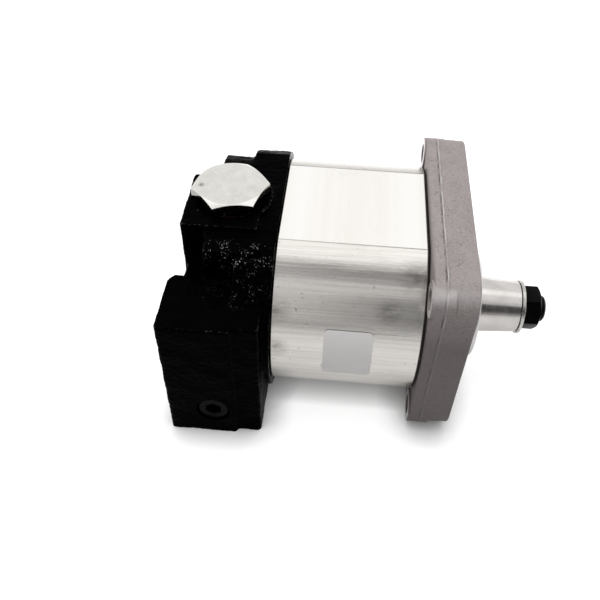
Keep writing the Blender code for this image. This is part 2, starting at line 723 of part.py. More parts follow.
def drive_gear_shaft(axis, steel):
    """The drive gear with its journals, seal land, taper, keyway and thread in one piece."""
    face = GEAR_WIDTH / 2
    rear = BODY_REAR - GEAR_MIDDLE + CLEARANCE
    start = TAPER_START - GEAR_MIDDLE
    end = TAPER_END - GEAR_MIDDLE
    tip = SHAFT_END - GEAR_MIDDLE
    profile = [
        (rear, JOURNAL_RADIUS - CLEARANCE), (rear + CLEARANCE, JOURNAL_RADIUS), (start, JOURNAL_RADIUS),
        (start, TAPER_RADIUS), (end, taper_radius(TAPER_END)), (end, THREAD_RADIUS),
        (tip - THREAD_CHAMFER, THREAD_RADIUS), (tip, THREAD_RADIUS - THREAD_CHAMFER),
    ]
    shaft = add("drive_gear_shaft", turned(profile, FACETS), steel, axis)
    tool(shaft, "drive_teeth", prism(gear_outline((0, 0), 0), -face, face), "UNION")
    half = KEY_WIDTH / 2 + CLEARANCE
    slot = prism(key_outline(KEY_PLACE - GEAR_MIDDLE, CLEARANCE), -half, half, "Y")
    tool(shaft, "key_slot", slot)
    return shaft


def key_outline(centre, clearance):
    """A Woodruff key's half-moon below the shaft, as (z, x); clearance widens it into its slot."""
    flat = -taper_radius(KEY_PLACE) - KEY_PROUD
    middle = flat + KEY_HEIGHT - KEY_RADIUS
    radius = KEY_RADIUS + clearance
    reach = math.acos((flat - middle) / KEY_RADIUS)
    moon = arc((middle, centre), radius, -reach, reach, 14)
    if clearance:
        moon.append((flat - KEY_HEIGHT, moon[-1][1]))
        moon.append((flat - KEY_HEIGHT, moon[0][1]))
    return moon


def driven_gear_shaft(axis, steel):
    """The driven gear with its two journals."""
    face = GEAR_WIDTH / 2
    end = BODY_LENGTH / 2 - CLEARANCE
    edge = CLEARANCE * 2
    profile = [
        (-end, JOURNAL_RADIUS - edge), (-end + edge, JOURNAL_RADIUS),
        (end - edge, JOURNAL_RADIUS), (end, JOURNAL_RADIUS - edge),
    ]
    shaft = add("driven_gear_shaft", turned(profile, FACETS_BORE), steel, axis)
    teeth = prism(gear_outline((0, 0), math.pi + math.pi / TEETH), -face, face)
    tool(shaft, "driven_teeth", teeth, "UNION")
    return shaft


def woodruff_key(axis, steel):
    """The half-moon key under the taper."""
    outline = key_outline(KEY_PLACE - GEAR_MIDDLE, 0)
    return add("woodruff_key", prism(outline, -KEY_WIDTH / 2, KEY_WIDTH / 2, "Y"), steel, axis)


def shaft_washer(axis, steel):
    """The plain washer on the shaft end."""
    low = TAPER_END + CLEARANCE - GEAR_MIDDLE
    high = low + WASHER_THICKNESS
    hole = THREAD_RADIUS + CLEARANCE
    rim = WASHER_RADIUS - WASHER_EDGE
    profile = [
        (low, rim), (low + WASHER_EDGE, WASHER_RADIUS), (high - WASHER_EDGE, WASHER_RADIUS),
        (high, rim), (high, hole), (low, hole),
    ]
    return add("shaft_washer", turned(profile, FACETS, ring=True), steel, axis)


def shaft_nut(axis, black):
    """The thin hexagon nut, chamfered at both ends."""
    low = NUT_SEAT - GEAR_MIDDLE
    high = low + NUT_HEIGHT
    nut = add("shaft_nut", prism(hexagon((0, 0), NUT_ACROSS_FLATS, NUT_TURN), low, high), black, axis)
    corner = NUT_ACROSS_FLATS / math.sqrt(3) + CLEARANCE
    flat = NUT_ACROSS_FLATS / 2 * HEX_CHAMFER_START
    drop = (corner - flat) * HEX_CHAMFER_SLOPE
    envelope = [(low, flat), (low + drop, corner), (high - drop, corner), (high, flat)]
    tool(nut, "nut_chamfer", turned(envelope, FACETS), "INTERSECT")
    tool(nut, "nut_bore", drill((0, 0), THREAD_RADIUS + CLEARANCE, low - PAST, high + PAST))
    return nut


def shaft_seal(frame, rubber):
    """The lip seal: an outer case and a lip that leans on the shaft."""
    back, front = SEAL_BORE_FLOOR + CLEARANCE, SEAL_FRONT
    outer = SHAFT_SEAL_RADIUS - CLEARANCE
    inner = JOURNAL_RADIUS + CLEARANCE
    wall = SHAFT_SEAL_LIP
    profile = [
        (back, outer), (front, outer), (front, inner + wall), (front - wall, inner),
        (front - 2 * wall, inner + wall), (back + wall, inner), (back, inner + 2 * wall),
        (front - 2 * wall, inner + 2 * wall),
        (front - 2 * wall, outer - wall), (back, outer - wall),
    ]
    return add("shaft_seal", turned(profile, FACETS_BORE, ring=True), rubber, frame)


def retaining_ring(frame, steel):
    """The internal ring that holds the seal, open at the bottom, with an eyelet at each end."""
    outer = SHAFT_SEAL_RADIUS + RETAINER_GROOVE - CLEARANCE
    inner = outer - RETAINER_HEIGHT
    half = RETAINER_GAP / 2
    down = -math.pi / 2
    start, end = down + half, down + math.tau - half
    step = RETAINER_LUG_LENGTH / inner
    neck = step + RETAINER_NECK / inner
    outline = arc((0, 0), outer, start, end, 20)
    outline += arc((0, 0), inner - RETAINER_LUG, end, end - step, 2)
    outline += arc((0, 0), inner, end - neck, start + neck, 18)
    outline += arc((0, 0), inner - RETAINER_LUG, start + step, start, 2)
    high = SPIGOT_LENGTH - RETAINER_SETBACK
    low = high - RETAINER_WIDTH
    ring = add("seal_retaining_ring", prism(outline, low, high), steel, frame)
    reach = inner + (RETAINER_HEIGHT - RETAINER_LUG) / 4
    eyelets = []
    for turn in (start + step / 2, end - step / 2):
        spot = (reach * math.cos(turn), reach * math.sin(turn))
        eyelets.append(drill(spot, RETAINER_EYE_RADIUS, low - PAST, high + PAST, segments=FACETS_PIN))
    tool(ring, "eyelets", gathered(eyelets))
    return ring


def through_bolt(frame, number, spot, steel):
    """A socket-head bolt from the front cover into the rear cover."""
    under_head = HEAD_SEAT + CLEARANCE
    top = under_head + BOLT_HEAD_HEIGHT
    end = PLATE_FRONT - BOLT_ENGAGEMENT
    profile = [
        (end, THROUGH_BOLT_RADIUS - BOLT_CHAMFER), (end + BOLT_CHAMFER, THROUGH_BOLT_RADIUS),
        (under_head, THROUGH_BOLT_RADIUS), (under_head, BOLT_HEAD_RADIUS),
        (top - BOLT_CHAMFER, BOLT_HEAD_RADIUS), (top, BOLT_HEAD_RADIUS - BOLT_CHAMFER),
    ]
    bolt = add(f"through_bolt_{number}", turned(profile, FACETS_BOLT, centre=spot), steel, frame)
    socket = prism(hexagon(spot, BOLT_SOCKET), top - BOLT_SOCKET_DEPTH, top + PAST)
    tool(bolt, f"bolt_socket_{number}", socket)
    return bolt


def dowel_pin(frame, name, joint, spot, steel):
    """A chamfered dowel across a joint."""
    low, high = joint - DOWEL_LENGTH / 2 + CLEARANCE, joint + DOWEL_LENGTH / 2 - CLEARANCE
    profile = [
        (low, DOWEL_RADIUS - DOWEL_CHAMFER), (low + DOWEL_CHAMFER, DOWEL_RADIUS),
        (high - DOWEL_CHAMFER, DOWEL_RADIUS), (high, DOWEL_RADIUS - DOWEL_CHAMFER),
    ]
    return add(name, turned(profile, FACETS_PIN, centre=spot), steel, frame)


def port_block_plan():
    """The near block of the rear cover seen from above, as (x, y)."""
    front = PLATE_FRONT - PORT_BLOCK_FRONT
    step = PLATE_REAR + PORT_BLOCK_RELIEF_START
    near = PORT_BLOCK_NEAR_Y
    inset = near + PORT_BLOCK_RELIEF
    back = PORT_BLOCK_FAR_Y
    return rounded([
        (PORT_BLOCK_REAR, near, CAST_EDGE), (step, near, PORT_BLOCK_BEND),
        (step + PORT_BLOCK_RELIEF / 2, inset, PORT_BLOCK_BEND), (front, inset, CAST_EDGE),
        (front, back, 0), (PORT_BLOCK_REAR, back, CAST_CORNER),
    ], 3)


def rear_cover(frame, paint):
    """The cast rear cover: plate, valve block with its round boss, shoulder, port block and suction boss."""
    sections = []
    for along, inset in (
        (PLATE_FRONT, 0), (PLATE_REAR + PLATE_EDGE, 0),
        (PLATE_REAR + PLATE_EDGE * EDGE_BEND, PLATE_EDGE * EDGE_BEND), (PLATE_REAR, PLATE_EDGE),
    ):
        sections.append((along, stadium(PLATE_RADIUS - inset, PLATE_HALF_WIDTH - inset)))
    cover = add("rear_cover", loft(sections), paint, frame)
    inside = PLATE_REAR + PLATE_THICKNESS / 2
    block = prism(rectangle(BLOCK_REAR, inside, BLOCK_NEAR_Y, BLOCK_FAR_Y), BLOCK_BOTTOM, BLOCK_TOP, "Z")
    tool(cover, "valve_block", block, "UNION", CAST_EDGE)
    spot = (VALVE_X, VALVE_PLACE_Y)
    boss = drill(spot, VALVE_BOSS_RADIUS, 0, BLOCK_TOP - CLEARANCE, "Z", FACETS)
    tool(cover, "valve_boss", boss, "UNION", CAST_EDGE / 2)
    shoulder_rear = PLATE_REAR - SHOULDER_LENGTH
    outline = rectangle(shoulder_rear, inside, SHOULDER_NEAR_Y, BLOCK_NEAR_Y + CAST_CORNER)
    tool(cover, "shoulder", prism(outline, BLOCK_BOTTOM, PLATE_HALF_HEIGHT, "Z"), "UNION", CAST_EDGE)
    low, high = SHOULDER_NEAR_Y - CAST_CORNER, BLOCK_NEAR_Y + CAST_CORNER
    outline = rectangle(BLOCK_REAR + CAST_EDGE, inside, low, high)
    web = prism(outline, BLOCK_BOTTOM + CAST_EDGE, PORT_BLOCK_TOP - CAST_EDGE, "Z")
    tool(cover, "web", web, "UNION")
    port_block = prism(port_block_plan(), PORT_BLOCK_BOTTOM, PORT_BLOCK_TOP, "Z")
    tool(cover, "port_block", port_block, "UNION", CAST_EDGE / 2)
    suction_rear = PLATE_REAR - SUCTION_BOSS_LENGTH
    spot = (SUCTION_PORT_Y, SUCTION_PORT_Z)
    boss = drill(spot, SUCTION_BOSS_RADIUS, suction_rear, inside, segments=FACETS)
    tool(cover, "suction_boss", boss, "UNION", CAST_EDGE / 2)
    cover_bores(cover)
    return cover


def valve_bore():
    """The stepped bore under the valve plug, from the seat up to the spotface."""
    thread = PLUG_THREAD_RADIUS + CLEARANCE
    thread_end = SPOTFACE_Z - PLUG_THREAD_LENGTH - CLEARANCE
    return turned([
        (BLOCK_BOTTOM + VALVE_FLOOR, VALVE_SEAT_RADIUS), (VALVE_SEAT_Z, VALVE_SEAT_RADIUS),
        (VALVE_SEAT_Z, VALVE_BORE_RADIUS), (thread_end, VALVE_BORE_RADIUS), (thread_end, thread),
        (SPOTFACE_Z, thread), (SPOTFACE_Z, SPOTFACE_RADIUS), (BLOCK_TOP + PAST, SPOTFACE_RADIUS),
    ], FACETS_BORE, "Z", (VALVE_X, VALVE_PLACE_Y))


def suction_gallery():
    """The slot that leads from the suction port to the body's suction channel."""
    channel = Vector((PITCH_RADIUS, CHANNEL_OFFSET))
    across = Vector((SUCTION_PORT_Y, SUCTION_PORT_Z)) - channel
    turn = math.atan2(across.x, -across.y)
    start = arc(channel, SUCTION_CHANNEL_RADIUS, turn, turn + math.pi, FACETS_PIN)
    middle = channel + across * SUCTION_GALLERY_REACH
    end = arc(middle, SUCTION_CHANNEL_RADIUS, turn - math.pi, turn, FACETS_PIN)
    return prism(start + end, SUCTION_PORT_FLOOR - SUCTION_GALLERY_OVERLAP, PLATE_FRONT + PAST)


def pressure_port():
    """The pressure port and the drilling that carries on from it to the cross drilling."""
    floor = PORT_BLOCK_REAR + PRESSURE_PORT_DEPTH
    return turned([
        (PORT_BLOCK_REAR - PAST, PRESSURE_PORT_RADIUS), (floor, PRESSURE_PORT_RADIUS),
        (floor, CROSS_DRILLING_RADIUS), (VALVE_X, CROSS_DRILLING_RADIUS),
    ], FACETS_BORE, centre=(PRESSURE_PORT_Y, CROSS_DRILLING_Z))


def cross_drilling():
    """The drilling from the port block's near face to the valve, with the side plug's counterbore."""
    floor = PORT_BLOCK_NEAR_Y + SIDE_PLUG_DEPTH
    thread = SIDE_PLUG_RADIUS + CLEARANCE
    return turned([
        (PORT_BLOCK_NEAR_Y - PAST, thread), (floor, thread),
        (floor, CROSS_DRILLING_RADIUS), (VALVE_PLACE_Y, CROSS_DRILLING_RADIUS),
    ], FACETS_BORE, "Y", SIDE_PLUG_SPOT)


def cover_bores(cover):
    """The rear cover's machined holes: valve bore, ports, passages, bolt and dowel holes."""
    tool(cover, "valve_bore", valve_bore())
    outside = PLATE_REAR - SUCTION_BOSS_LENGTH - PAST
    spot = (SUCTION_PORT_Y, SUCTION_PORT_Z)
    port = drill(spot, SUCTION_PORT_RADIUS, outside, SUCTION_PORT_FLOOR)
    tool(cover, "suction_port", port)
    tool(cover, "suction_gallery", suction_gallery())
    spot = (PRESSURE_PASSAGE_Y, -CHANNEL_OFFSET)
    tool(cover, "pressure_passage", drill(spot, CROSS_DRILLING_RADIUS, VALVE_X, PLATE_FRONT + PAST))
    tool(cover, "pressure_port", pressure_port())
    tool(cover, "cross_drilling", cross_drilling())
    thread_end = PLATE_FRONT - BOLT_ENGAGEMENT - 2 * CLEARANCE
    tool(cover, "bolt_threads", bolt_holes(thread_end, PLATE_FRONT + PAST))
    tool(cover, "cover_dowel_holes", dowel_holes(PLATE_FRONT - DOWEL_LENGTH / 2, PLATE_FRONT + PAST))


def valve_plug(frame, zinc):
    """The hexagon plug over the valve, chamfered on top, with a thread and a spring pocket."""
    seat = SPOTFACE_Z + PLUG_SEAL_THICKNESS + 2 * CLEARANCE
    spot = (VALVE_X, VALVE_PLACE_Y)
    head = prism(hexagon(spot, PLUG_ACROSS_FLATS, PLUG_TURN), seat, PLUG_TOP, "Z")
    plug = add("valve_plug", head, zinc, frame)
    corner = PLUG_ACROSS_FLATS / math.sqrt(3) + CLEARANCE
    flat = PLUG_ACROSS_FLATS / 2 * HEX_CHAMFER_START
    drop = (corner - flat) * HEX_CHAMFER_SLOPE
    envelope = [(seat, flat), (seat + drop / 2, corner), (PLUG_TOP - drop, corner), (PLUG_TOP, flat)]
    tool(plug, "plug_chamfer", turned(envelope, FACETS_LARGE, "Z", spot), "INTERSECT")
    stub_end = SPOTFACE_Z - PLUG_THREAD_LENGTH
    stub = turned([
        (stub_end, PLUG_THREAD_RADIUS - PLUG_THREAD_CHAMFER),
        (stub_end + PLUG_THREAD_CHAMFER, PLUG_THREAD_RADIUS), (seat + PAST, PLUG_THREAD_RADIUS),
    ], FACETS_BORE, "Z", spot)
    tool(plug, "plug_thread", stub, "UNION")
    roof = PLUG_TOP - SPRING_POCKET_ROOF
    tool(plug, "spring_pocket", drill(spot, SPRING_POCKET_RADIUS, stub_end - PAST, roof, "Z"))
    return plug


def plug_seal(frame, copper):
    """The flat sealing ring under the hexagon plug."""
    low = SPOTFACE_Z + CLEARANCE
    high = low + PLUG_SEAL_THICKNESS
    inner = PLUG_THREAD_RADIUS + CLEARANCE
    profile = [(low, PLUG_SEAL_RADIUS), (high, PLUG_SEAL_RADIUS), (high, inner), (low, inner)]
    ring = turned(profile, FACETS_BORE, "Z", (VALVE_X, VALVE_PLACE_Y), ring=True)
    return add("plug_seal", ring, copper, frame)


def relief_poppet(axis, steel):
    """The fluted poppet: a conical nose in the seat, four flats for the oil, and a pin for the spring."""
    base = CLEARANCE
    top = base + POPPET_LENGTH
    outer = VALVE_BORE_RADIUS - CLEARANCE
    nose = VALVE_SEAT_RADIUS - CLEARANCE
    edge = CLEARANCE * 2
    profile = [
        (base - POPPET_NOSE, POPPET_NOSE_TIP), (base, nose), (base, outer - edge), (base + edge, outer),
        (top - edge, outer), (top, outer - edge), (top, POPPET_GUIDE_RADIUS),
        (top + POPPET_GUIDE_LENGTH, POPPET_GUIDE_RADIUS - edge),
    ]
    poppet = add("relief_poppet", turned(profile, FACETS_BORE, "Z"), steel, axis)
    outline = rectangle(POPPET_FLAT, outer + edge, -POPPET_FLAT, POPPET_FLAT)
    flats = []
    for k in range(POPPET_FLATS):
        flat = prism(outline, base + POPPET_NOSE, top + edge, "Z")
        flat.transform(Matrix.Rotation(math.tau * k / POPPET_FLATS, 4, "Z"))
        flats.append(flat)
    tool(poppet, "flutes", gathered(flats))
    return poppet


def valve_spring(frame, spring_steel):
    """The coil spring between the poppet and the plug, with closed ends."""
    low = VALVE_SEAT_Z + CLEARANCE + POPPET_LENGTH + CLEARANCE + SPRING_WIRE
    high = PLUG_TOP - SPRING_POCKET_ROOF - CLEARANCE - SPRING_WIRE
    closed = 2 * SPRING_WIRE + CLEARANCE / 2
    curve = bpy.data.curves.new("valve_spring", "CURVE")
    curve.dimensions = "3D"
    curve.bevel_depth = SPRING_WIRE
    curve.bevel_resolution = 1
    curve.use_fill_caps = True
    line = curve.splines.new("POLY")
    line.points.add(SPRING_TURNS * SPRING_STEPS)
    free = high - low - 2 * closed
    for i, point in enumerate(line.points):
        turn = i / SPRING_STEPS
        if turn < 1:
            rise = closed * turn
        elif turn > SPRING_TURNS - 1:
            rise = closed + free + closed * (turn - SPRING_TURNS + 1)
        else:
            rise = closed + free * (turn - 1) / (SPRING_TURNS - 2)
        angle = math.tau * turn
        point.co = (
            VALVE_X + SPRING_RADIUS * math.cos(angle), VALVE_PLACE_Y + SPRING_RADIUS * math.sin(angle),
            low + rise, 1,
        )
    spring = bpy.data.objects.new("valve_spring", curve)
    bpy.context.collection.objects.link(spring)
    spring.data.materials.append(spring_steel)
    spring.parent = frame
    return spring


def side_plug(frame, black):
    """The recessed screw plug in the port block's near face, with a hexagon socket."""
    floor = PORT_BLOCK_NEAR_Y + SIDE_PLUG_DEPTH
    outer_end = PORT_BLOCK_NEAR_Y + SIDE_PLUG_SINK
    inner_end = floor - SIDE_PLUG_SEAL - 2 * CLEARANCE
    profile = [
        (outer_end, SIDE_PLUG_RADIUS - SIDE_PLUG_CHAMFER), (outer_end + SIDE_PLUG_CHAMFER, SIDE_PLUG_RADIUS),
        (inner_end, SIDE_PLUG_RADIUS),
    ]
    plug = add("side_plug", turned(profile, FACETS, "Y", SIDE_PLUG_SPOT), black, frame)
    socket = hexagon(SIDE_PLUG_SPOT, SIDE_PLUG_SOCKET)
    bottom = outer_end + SIDE_PLUG_SOCKET_DEPTH
    tool(plug, "side_socket", prism(socket, outer_end - PAST, bottom, "Y"))
    return plug


def side_plug_seal(frame, copper):
    """The ring behind the recessed plug."""
    high = PORT_BLOCK_NEAR_Y + SIDE_PLUG_DEPTH - CLEARANCE
    low = high - SIDE_PLUG_SEAL
    inner = CROSS_DRILLING_RADIUS
    profile = [(low, SIDE_PLUG_RADIUS), (high, SIDE_PLUG_RADIUS), (high, inner), (low, inner)]
    ring = turned(profile, FACETS_BORE, "Y", SIDE_PLUG_SPOT, ring=True)
    return add("side_plug_seal", ring, copper, frame)


def build():
    """Model the whole pump."""
    for piece in list(bpy.data.objects):
        bpy.data.objects.remove(piece, do_unlink=True)
    grey_iron = material("grey_cast_cover", (0.27, 0.25, 0.26), 0.55, 0.6)
    aluminium = material("extruded_aluminium", (0.62, 0.62, 0.61), 0.32, 1.0)
    paint = material("black_paint", (0.012, 0.012, 0.013), 0.30, 0.0)
    steel = material("ground_steel", (0.60, 0.60, 0.61), 0.18, 1.0)
    zinc = material("zinc_plate", (0.72, 0.72, 0.70), 0.25, 1.0)
    black = material("blackened_steel", (0.03, 0.03, 0.032), 0.38, 0.8)
    bronze = material("bearing_bronze", (0.52, 0.36, 0.18), 0.35, 1.0)
    copper = material("soft_copper", (0.62, 0.33, 0.20), 0.35, 1.0)
    rubber = material("seal_rubber", (0.02, 0.02, 0.02), 0.6, 0.0)

    frame = empty("pump_frame", FRAME_OFFSET)
    drive_axis = empty("drive_axis", (GEAR_MIDDLE, 0, 0), frame)
    driven_axis = empty("driven_axis", (GEAR_MIDDLE, CENTRE_DISTANCE, 0), frame)
    poppet_axis = empty("poppet_axis", (VALVE_X, VALVE_PLACE_Y, VALVE_SEAT_Z), frame)

    front_cover(frame, grey_iron)
    pump_body(frame, aluminium)
    rear_cover(frame, paint)
    front_face = GEAR_MIDDLE + GEAR_WIDTH / 2 + CLEARANCE
    rear_face = GEAR_MIDDLE - GEAR_WIDTH / 2 - CLEARANCE
    for end, face, side in (("front", front_face, 1), ("rear", rear_face, -1)):
        block_shape(frame, f"{end}_bearing_block", face, side, aluminium)
        pressure_seal(frame, f"{end}_pressure_seal", face + side * BLOCK_WIDTH, side, rubber)
        for gear, y in (("drive", 0), ("driven", CENTRE_DISTANCE)):
            bearing_bush(frame, f"{gear}_{end}_bush", face, side, y, bronze)
        groove = (BODY_FRONT if side > 0 else BODY_REAR) - side * BODY_SEAL_WIDTH / 2
        ring_path(f"{end}_body_seal", groove, BODY_SEAL_RADIUS, BODY_SEAL_WIDTH / 2, rubber, frame)
    shaft_seal(frame, rubber)
    retaining_ring(frame, steel)
    for number, spot in enumerate(through_bolt_places(), 1):
        through_bolt(frame, number, spot, black)
    for number, spot in enumerate(dowel_places(), 1):
        dowel_pin(frame, f"front_dowel_{number}", -FLANGE_THICKNESS - CLEARANCE / 2, spot, steel)
        dowel_pin(frame, f"rear_dowel_{number}", PLATE_FRONT + CLEARANCE / 2, spot, steel)
    drive_gear_shaft(drive_axis, steel)
    woodruff_key(drive_axis, steel)
    shaft_washer(drive_axis, steel)
    shaft_nut(drive_axis, black)
    driven_gear_shaft(driven_axis, steel)
    valve_plug(frame, zinc)
    plug_seal(frame, copper)
    relief_poppet(poppet_axis, steel)
    valve_spring(frame, steel)
    side_plug(frame, black)
    side_plug_seal(frame, copper)


build()
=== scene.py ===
"""Looks of a gear pump: castings, extruded body, machined steel, blank label, floor, light and camera.

Pieces are modelled in metres about the point where the shaft axis crosses the mounting face, with +X out
of the shaft end and +Z up, and are then moved to the frame's own place for that point.
"""

import math

import bmesh
import bpy
from mathutils import Euler, Matrix, Vector, noise


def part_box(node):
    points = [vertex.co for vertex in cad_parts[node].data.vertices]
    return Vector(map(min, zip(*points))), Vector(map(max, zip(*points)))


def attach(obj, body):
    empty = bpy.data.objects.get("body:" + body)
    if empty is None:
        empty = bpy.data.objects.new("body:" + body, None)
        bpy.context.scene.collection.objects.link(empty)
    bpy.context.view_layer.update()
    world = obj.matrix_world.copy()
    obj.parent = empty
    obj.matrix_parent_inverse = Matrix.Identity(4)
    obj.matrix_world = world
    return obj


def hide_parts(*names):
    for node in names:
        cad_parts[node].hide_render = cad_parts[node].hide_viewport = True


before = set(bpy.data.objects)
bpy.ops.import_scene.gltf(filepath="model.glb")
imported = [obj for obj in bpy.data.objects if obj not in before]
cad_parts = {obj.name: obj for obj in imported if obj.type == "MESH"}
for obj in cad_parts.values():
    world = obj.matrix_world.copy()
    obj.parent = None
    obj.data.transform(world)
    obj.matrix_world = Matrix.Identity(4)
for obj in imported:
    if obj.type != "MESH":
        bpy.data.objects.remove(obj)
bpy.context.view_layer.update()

# Camera
CAMERA_PLACE = Vector((-0.0125, -0.2453, 0.2863))
CAMERA_TURN = Euler([math.radians(a) for a in (43.28, -1.02, 5.09)])
CAMERA_LENS = 42.4

# Front cover
SPIGOT_LENGTH = 0.0068
SPIGOT_RADIUS = 0.025
SPIGOT_CHAMFER = 0.0008
FLANGE_CORNER = 0.014
RIM_EDGE = 0.0013
PARTING_X = -0.0130
FLASH_HEIGHT = 0.0005
FLASH_WIDTH = 0.00045
JOINT_PAD_INSET = 0.0009
PAD_HEIGHT = 0.0008
BOLT_PAD_RADIUS = 0.0078
BOLT_HOLE_RADIUS = 0.0045
SHAFT_HOLE_RADIUS = 0.0136
SEAL_BORE_RADIUS = 0.019
SEAL_BORE_DEPTH = 0.0102
RETAINER_GROOVE_DEPTH = 0.0010
COUNTERBORE_RADIUS = 0.0068
COUNTERBORE_DEPTH = 0.0093

# Body and rear cover
CENTRE_DISTANCE = 0.033
BODY_RADIUS = 0.0415
CHAMBER_RADIUS = 0.01945
THROUGH_BOLT_RADIUS = 0.0043
FIT = 0.0003
DOWEL_DEPTH = 0.0050
BODY_CHAMFER = 0.0004
CREASE_WIDTH = 0.0006
CREASE_DEPTH = 0.0003
PLATE_OVERHANG = 0.0033
PLATE_FLAT_OVERHANG = 0.00175
PLATE_THICKNESS = 0.0166
BLOCK_LENGTH = 0.0247
BLOCK_NEAR = -0.0100
BLOCK_FAR = 0.0250
BLOCK_BOTTOM = -0.0415
BLOCK_TOP = 0.0450
VALVE_BOSS_RADIUS = 0.0187
VALVE_SEAT_RADIUS = 0.006
VALVE_RADIUS = 0.009
PLUG_THREAD_RADIUS = 0.0123
SPOTFACE_RADIUS = 0.0175
SPOTFACE_Z = 0.0426
PORT_BLOCK_NEAR = -0.0515
PORT_BLOCK_FAR = -0.0204
PORT_BLOCK_TOP = 0.0252
SUCTION_SPOT = (0.0380, 0.0205)
SUCTION_BOSS_RADIUS = 0.0215
SUCTION_BOSS_LENGTH = 0.0137
SUCTION_RADIUS = 0.0122
PRESSURE_SPOT = (-0.0365, -0.0300)
PRESSURE_RADIUS = 0.0093
SIDE_RADIUS = 0.0078
DRILLING_RADIUS = 0.005
CAST_EDGE = 0.0016
VOXEL = 0.0007
PAST = 0.001

# Valve plug, nut and label
PLUG_ACROSS = 0.030
PLUG_SEAT = 0.0447
PLUG_TURN = math.radians(11.9)
NUT_ACROSS = 0.018
NUT_TURN = math.radians(-1)
THREAD_RADIUS = 0.00595
THREAD_PITCH = 0.0015
PORT_THREAD_PITCH = 0.0018
LABEL_LEFT = -0.0602
LABEL_RIGHT = -0.0393
LABEL_TOP = math.radians(66.0)
LABEL_BOTTOM = math.radians(100.8)
LABEL_CORNER = 0.0022
LABEL_THICKNESS = 0.00030

# Floor and light
FLOOR_GLOW = (0.50, 0.80)
FLOOR_TONE = 0.50
FAR_FLOOR = 0.06
SHADOW_REACH = 0.015
ROOM_LIGHT = 0.42


def find_axis():
    """The point where the shaft axis crosses the mounting face."""
    washer_low, washer_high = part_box("shaft_washer")
    centre = (washer_low + washer_high) / 2
    return Vector((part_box("front_cover")[1].x - SPIGOT_LENGTH, centre.y, centre.z))


AXIS = find_axis()


def local_box(node):
    """A node's box, measured from the shaft axis."""
    low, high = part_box(node)
    return low - AXIS, high - AXIS


FLANGE_LOW, FLANGE_HIGH = local_box("front_cover")
BODY_LOW, BODY_HIGH = local_box("pump_body")
COVER_LOW = local_box("rear_cover")[0]
PLUG_LOW, PLUG_HIGH = local_box("valve_plug")
NUT_LOW, NUT_HIGH = local_box("shaft_nut")
SHAFT_HIGH = local_box("drive_gear_shaft")[1]
BOLTS = [sum(local_box(f"through_bolt_{k}"), Vector()) / 2 for k in (1, 2, 3, 4)]
RING_LOW, RING_HIGH = local_box("seal_retaining_ring")
CORD_LOW, CORD_HIGH = local_box("front_body_seal")
FLANGE_BACK = BODY_HIGH.x + FIT
PLATE_FRONT = BODY_LOW.x - FIT
PLATE_REAR = PLATE_FRONT - PLATE_THICKNESS
MOUNTING_HOLES = [(y, z) for y in (-0.0345, 0.0655) for z in (-0.036, 0.036)]
DOWELS = [sum(local_box(f"front_dowel_{k}"), Vector()) / 2 for k in (1, 2)]
DOWEL_RADIUS = (local_box("front_dowel_1")[1].z - local_box("front_dowel_1")[0].z) / 2 + FIT


# Outlines and meshes


def arc(centre, radius, start, end, steps):
    """Points on an arc, both ends included."""
    angles = [start + (end - start) * i / steps for i in range(steps + 1)]
    return [(centre[0] + radius * math.cos(a), centre[1] + radius * math.sin(a)) for a in angles]


def circle(centre, radius, steps):
    """Points round a full circle."""
    return arc(centre, radius, 0, math.tau, steps)[:-1]


def rounded(corners, steps=6):
    """A polygon from corners (u, v, radius), each rounded by an arc."""
    points = []
    for i, (u, v, radius) in enumerate(corners):
        here = Vector((u, v))
        before = (Vector(corners[i - 1][:2]) - here).normalized()
        after = (Vector(corners[(i + 1) % len(corners)][:2]) - here).normalized()
        if radius == 0:
            points.append((u, v))
            continue
        half = before.angle(after) / 2
        centre = here + (before + after).normalized() * radius / math.sin(half)
        first = here + before * radius / math.tan(half) - centre
        last = here + after * radius / math.tan(half) - centre
        turn = first.angle_signed(last)
        for k in range(steps + 1):
            point = centre + Matrix.Rotation(-turn * k / steps, 2) @ first
            points.append((point.x, point.y))
    return points


def rectangle(u0, u1, v0, v1, radius=0.0):
    """A rectangle with equal corner radii."""
    return rounded([(u0, v0, radius), (u1, v0, radius), (u1, v1, radius), (u0, v1, radius)])


def stadium(radius, half_width, steps=64):
    """Two arcs about the gear axes, cut by flats at half_width above and below."""
    reach = math.asin(min(1, half_width / radius))
    far = arc((CENTRE_DISTANCE, 0), radius, -reach, reach, steps)
    near = arc((0, 0), radius, math.pi - reach, math.pi + reach, steps)
    return far + near


def figure_eight(radius, steps=40):
    """The union of two circles about the gear axes."""
    waist = math.acos(CENTRE_DISTANCE / 2 / radius)
    far = arc((CENTRE_DISTANCE, 0), radius, waist - math.pi, math.pi - waist, steps)
    near = arc((0, 0), radius, waist, math.tau - waist, steps)
    return far[:-1] + near[:-1]


PLANES = {"X": (0, 1, 2), "Y": (1, 2, 0), "Z": (2, 0, 1)}


def place(axis, along, u, v):
    """The point at a distance along an axis, with u and v in the plane across it."""
    point = [0.0, 0.0, 0.0]
    for index, value in zip(PLANES[axis], (along, u, v)):
        point[index] = value
    return Vector(point)


def loft(sections, axis="X"):
    """A closed mesh through sections (distance, outline) of equal point counts."""
    bm = bmesh.new()
    rings = [[bm.verts.new(place(axis, along, u, v)) for u, v in outline] for along, outline in sections]
    count = len(rings[0])
    for first, second in zip(rings, rings[1:]):
        for i in range(count):
            j = (i + 1) % count
            bm.faces.new((first[i], first[j], second[j], second[i]))
    bm.faces.new(rings[0])
    bm.faces.new(rings[-1])
    bmesh.ops.recalc_face_normals(bm, faces=bm.faces)
    return bm


def prism(outline, low, high, axis="X"):
    """An outline pulled straight along an axis."""
    return loft([(low, outline), (high, outline)], axis)


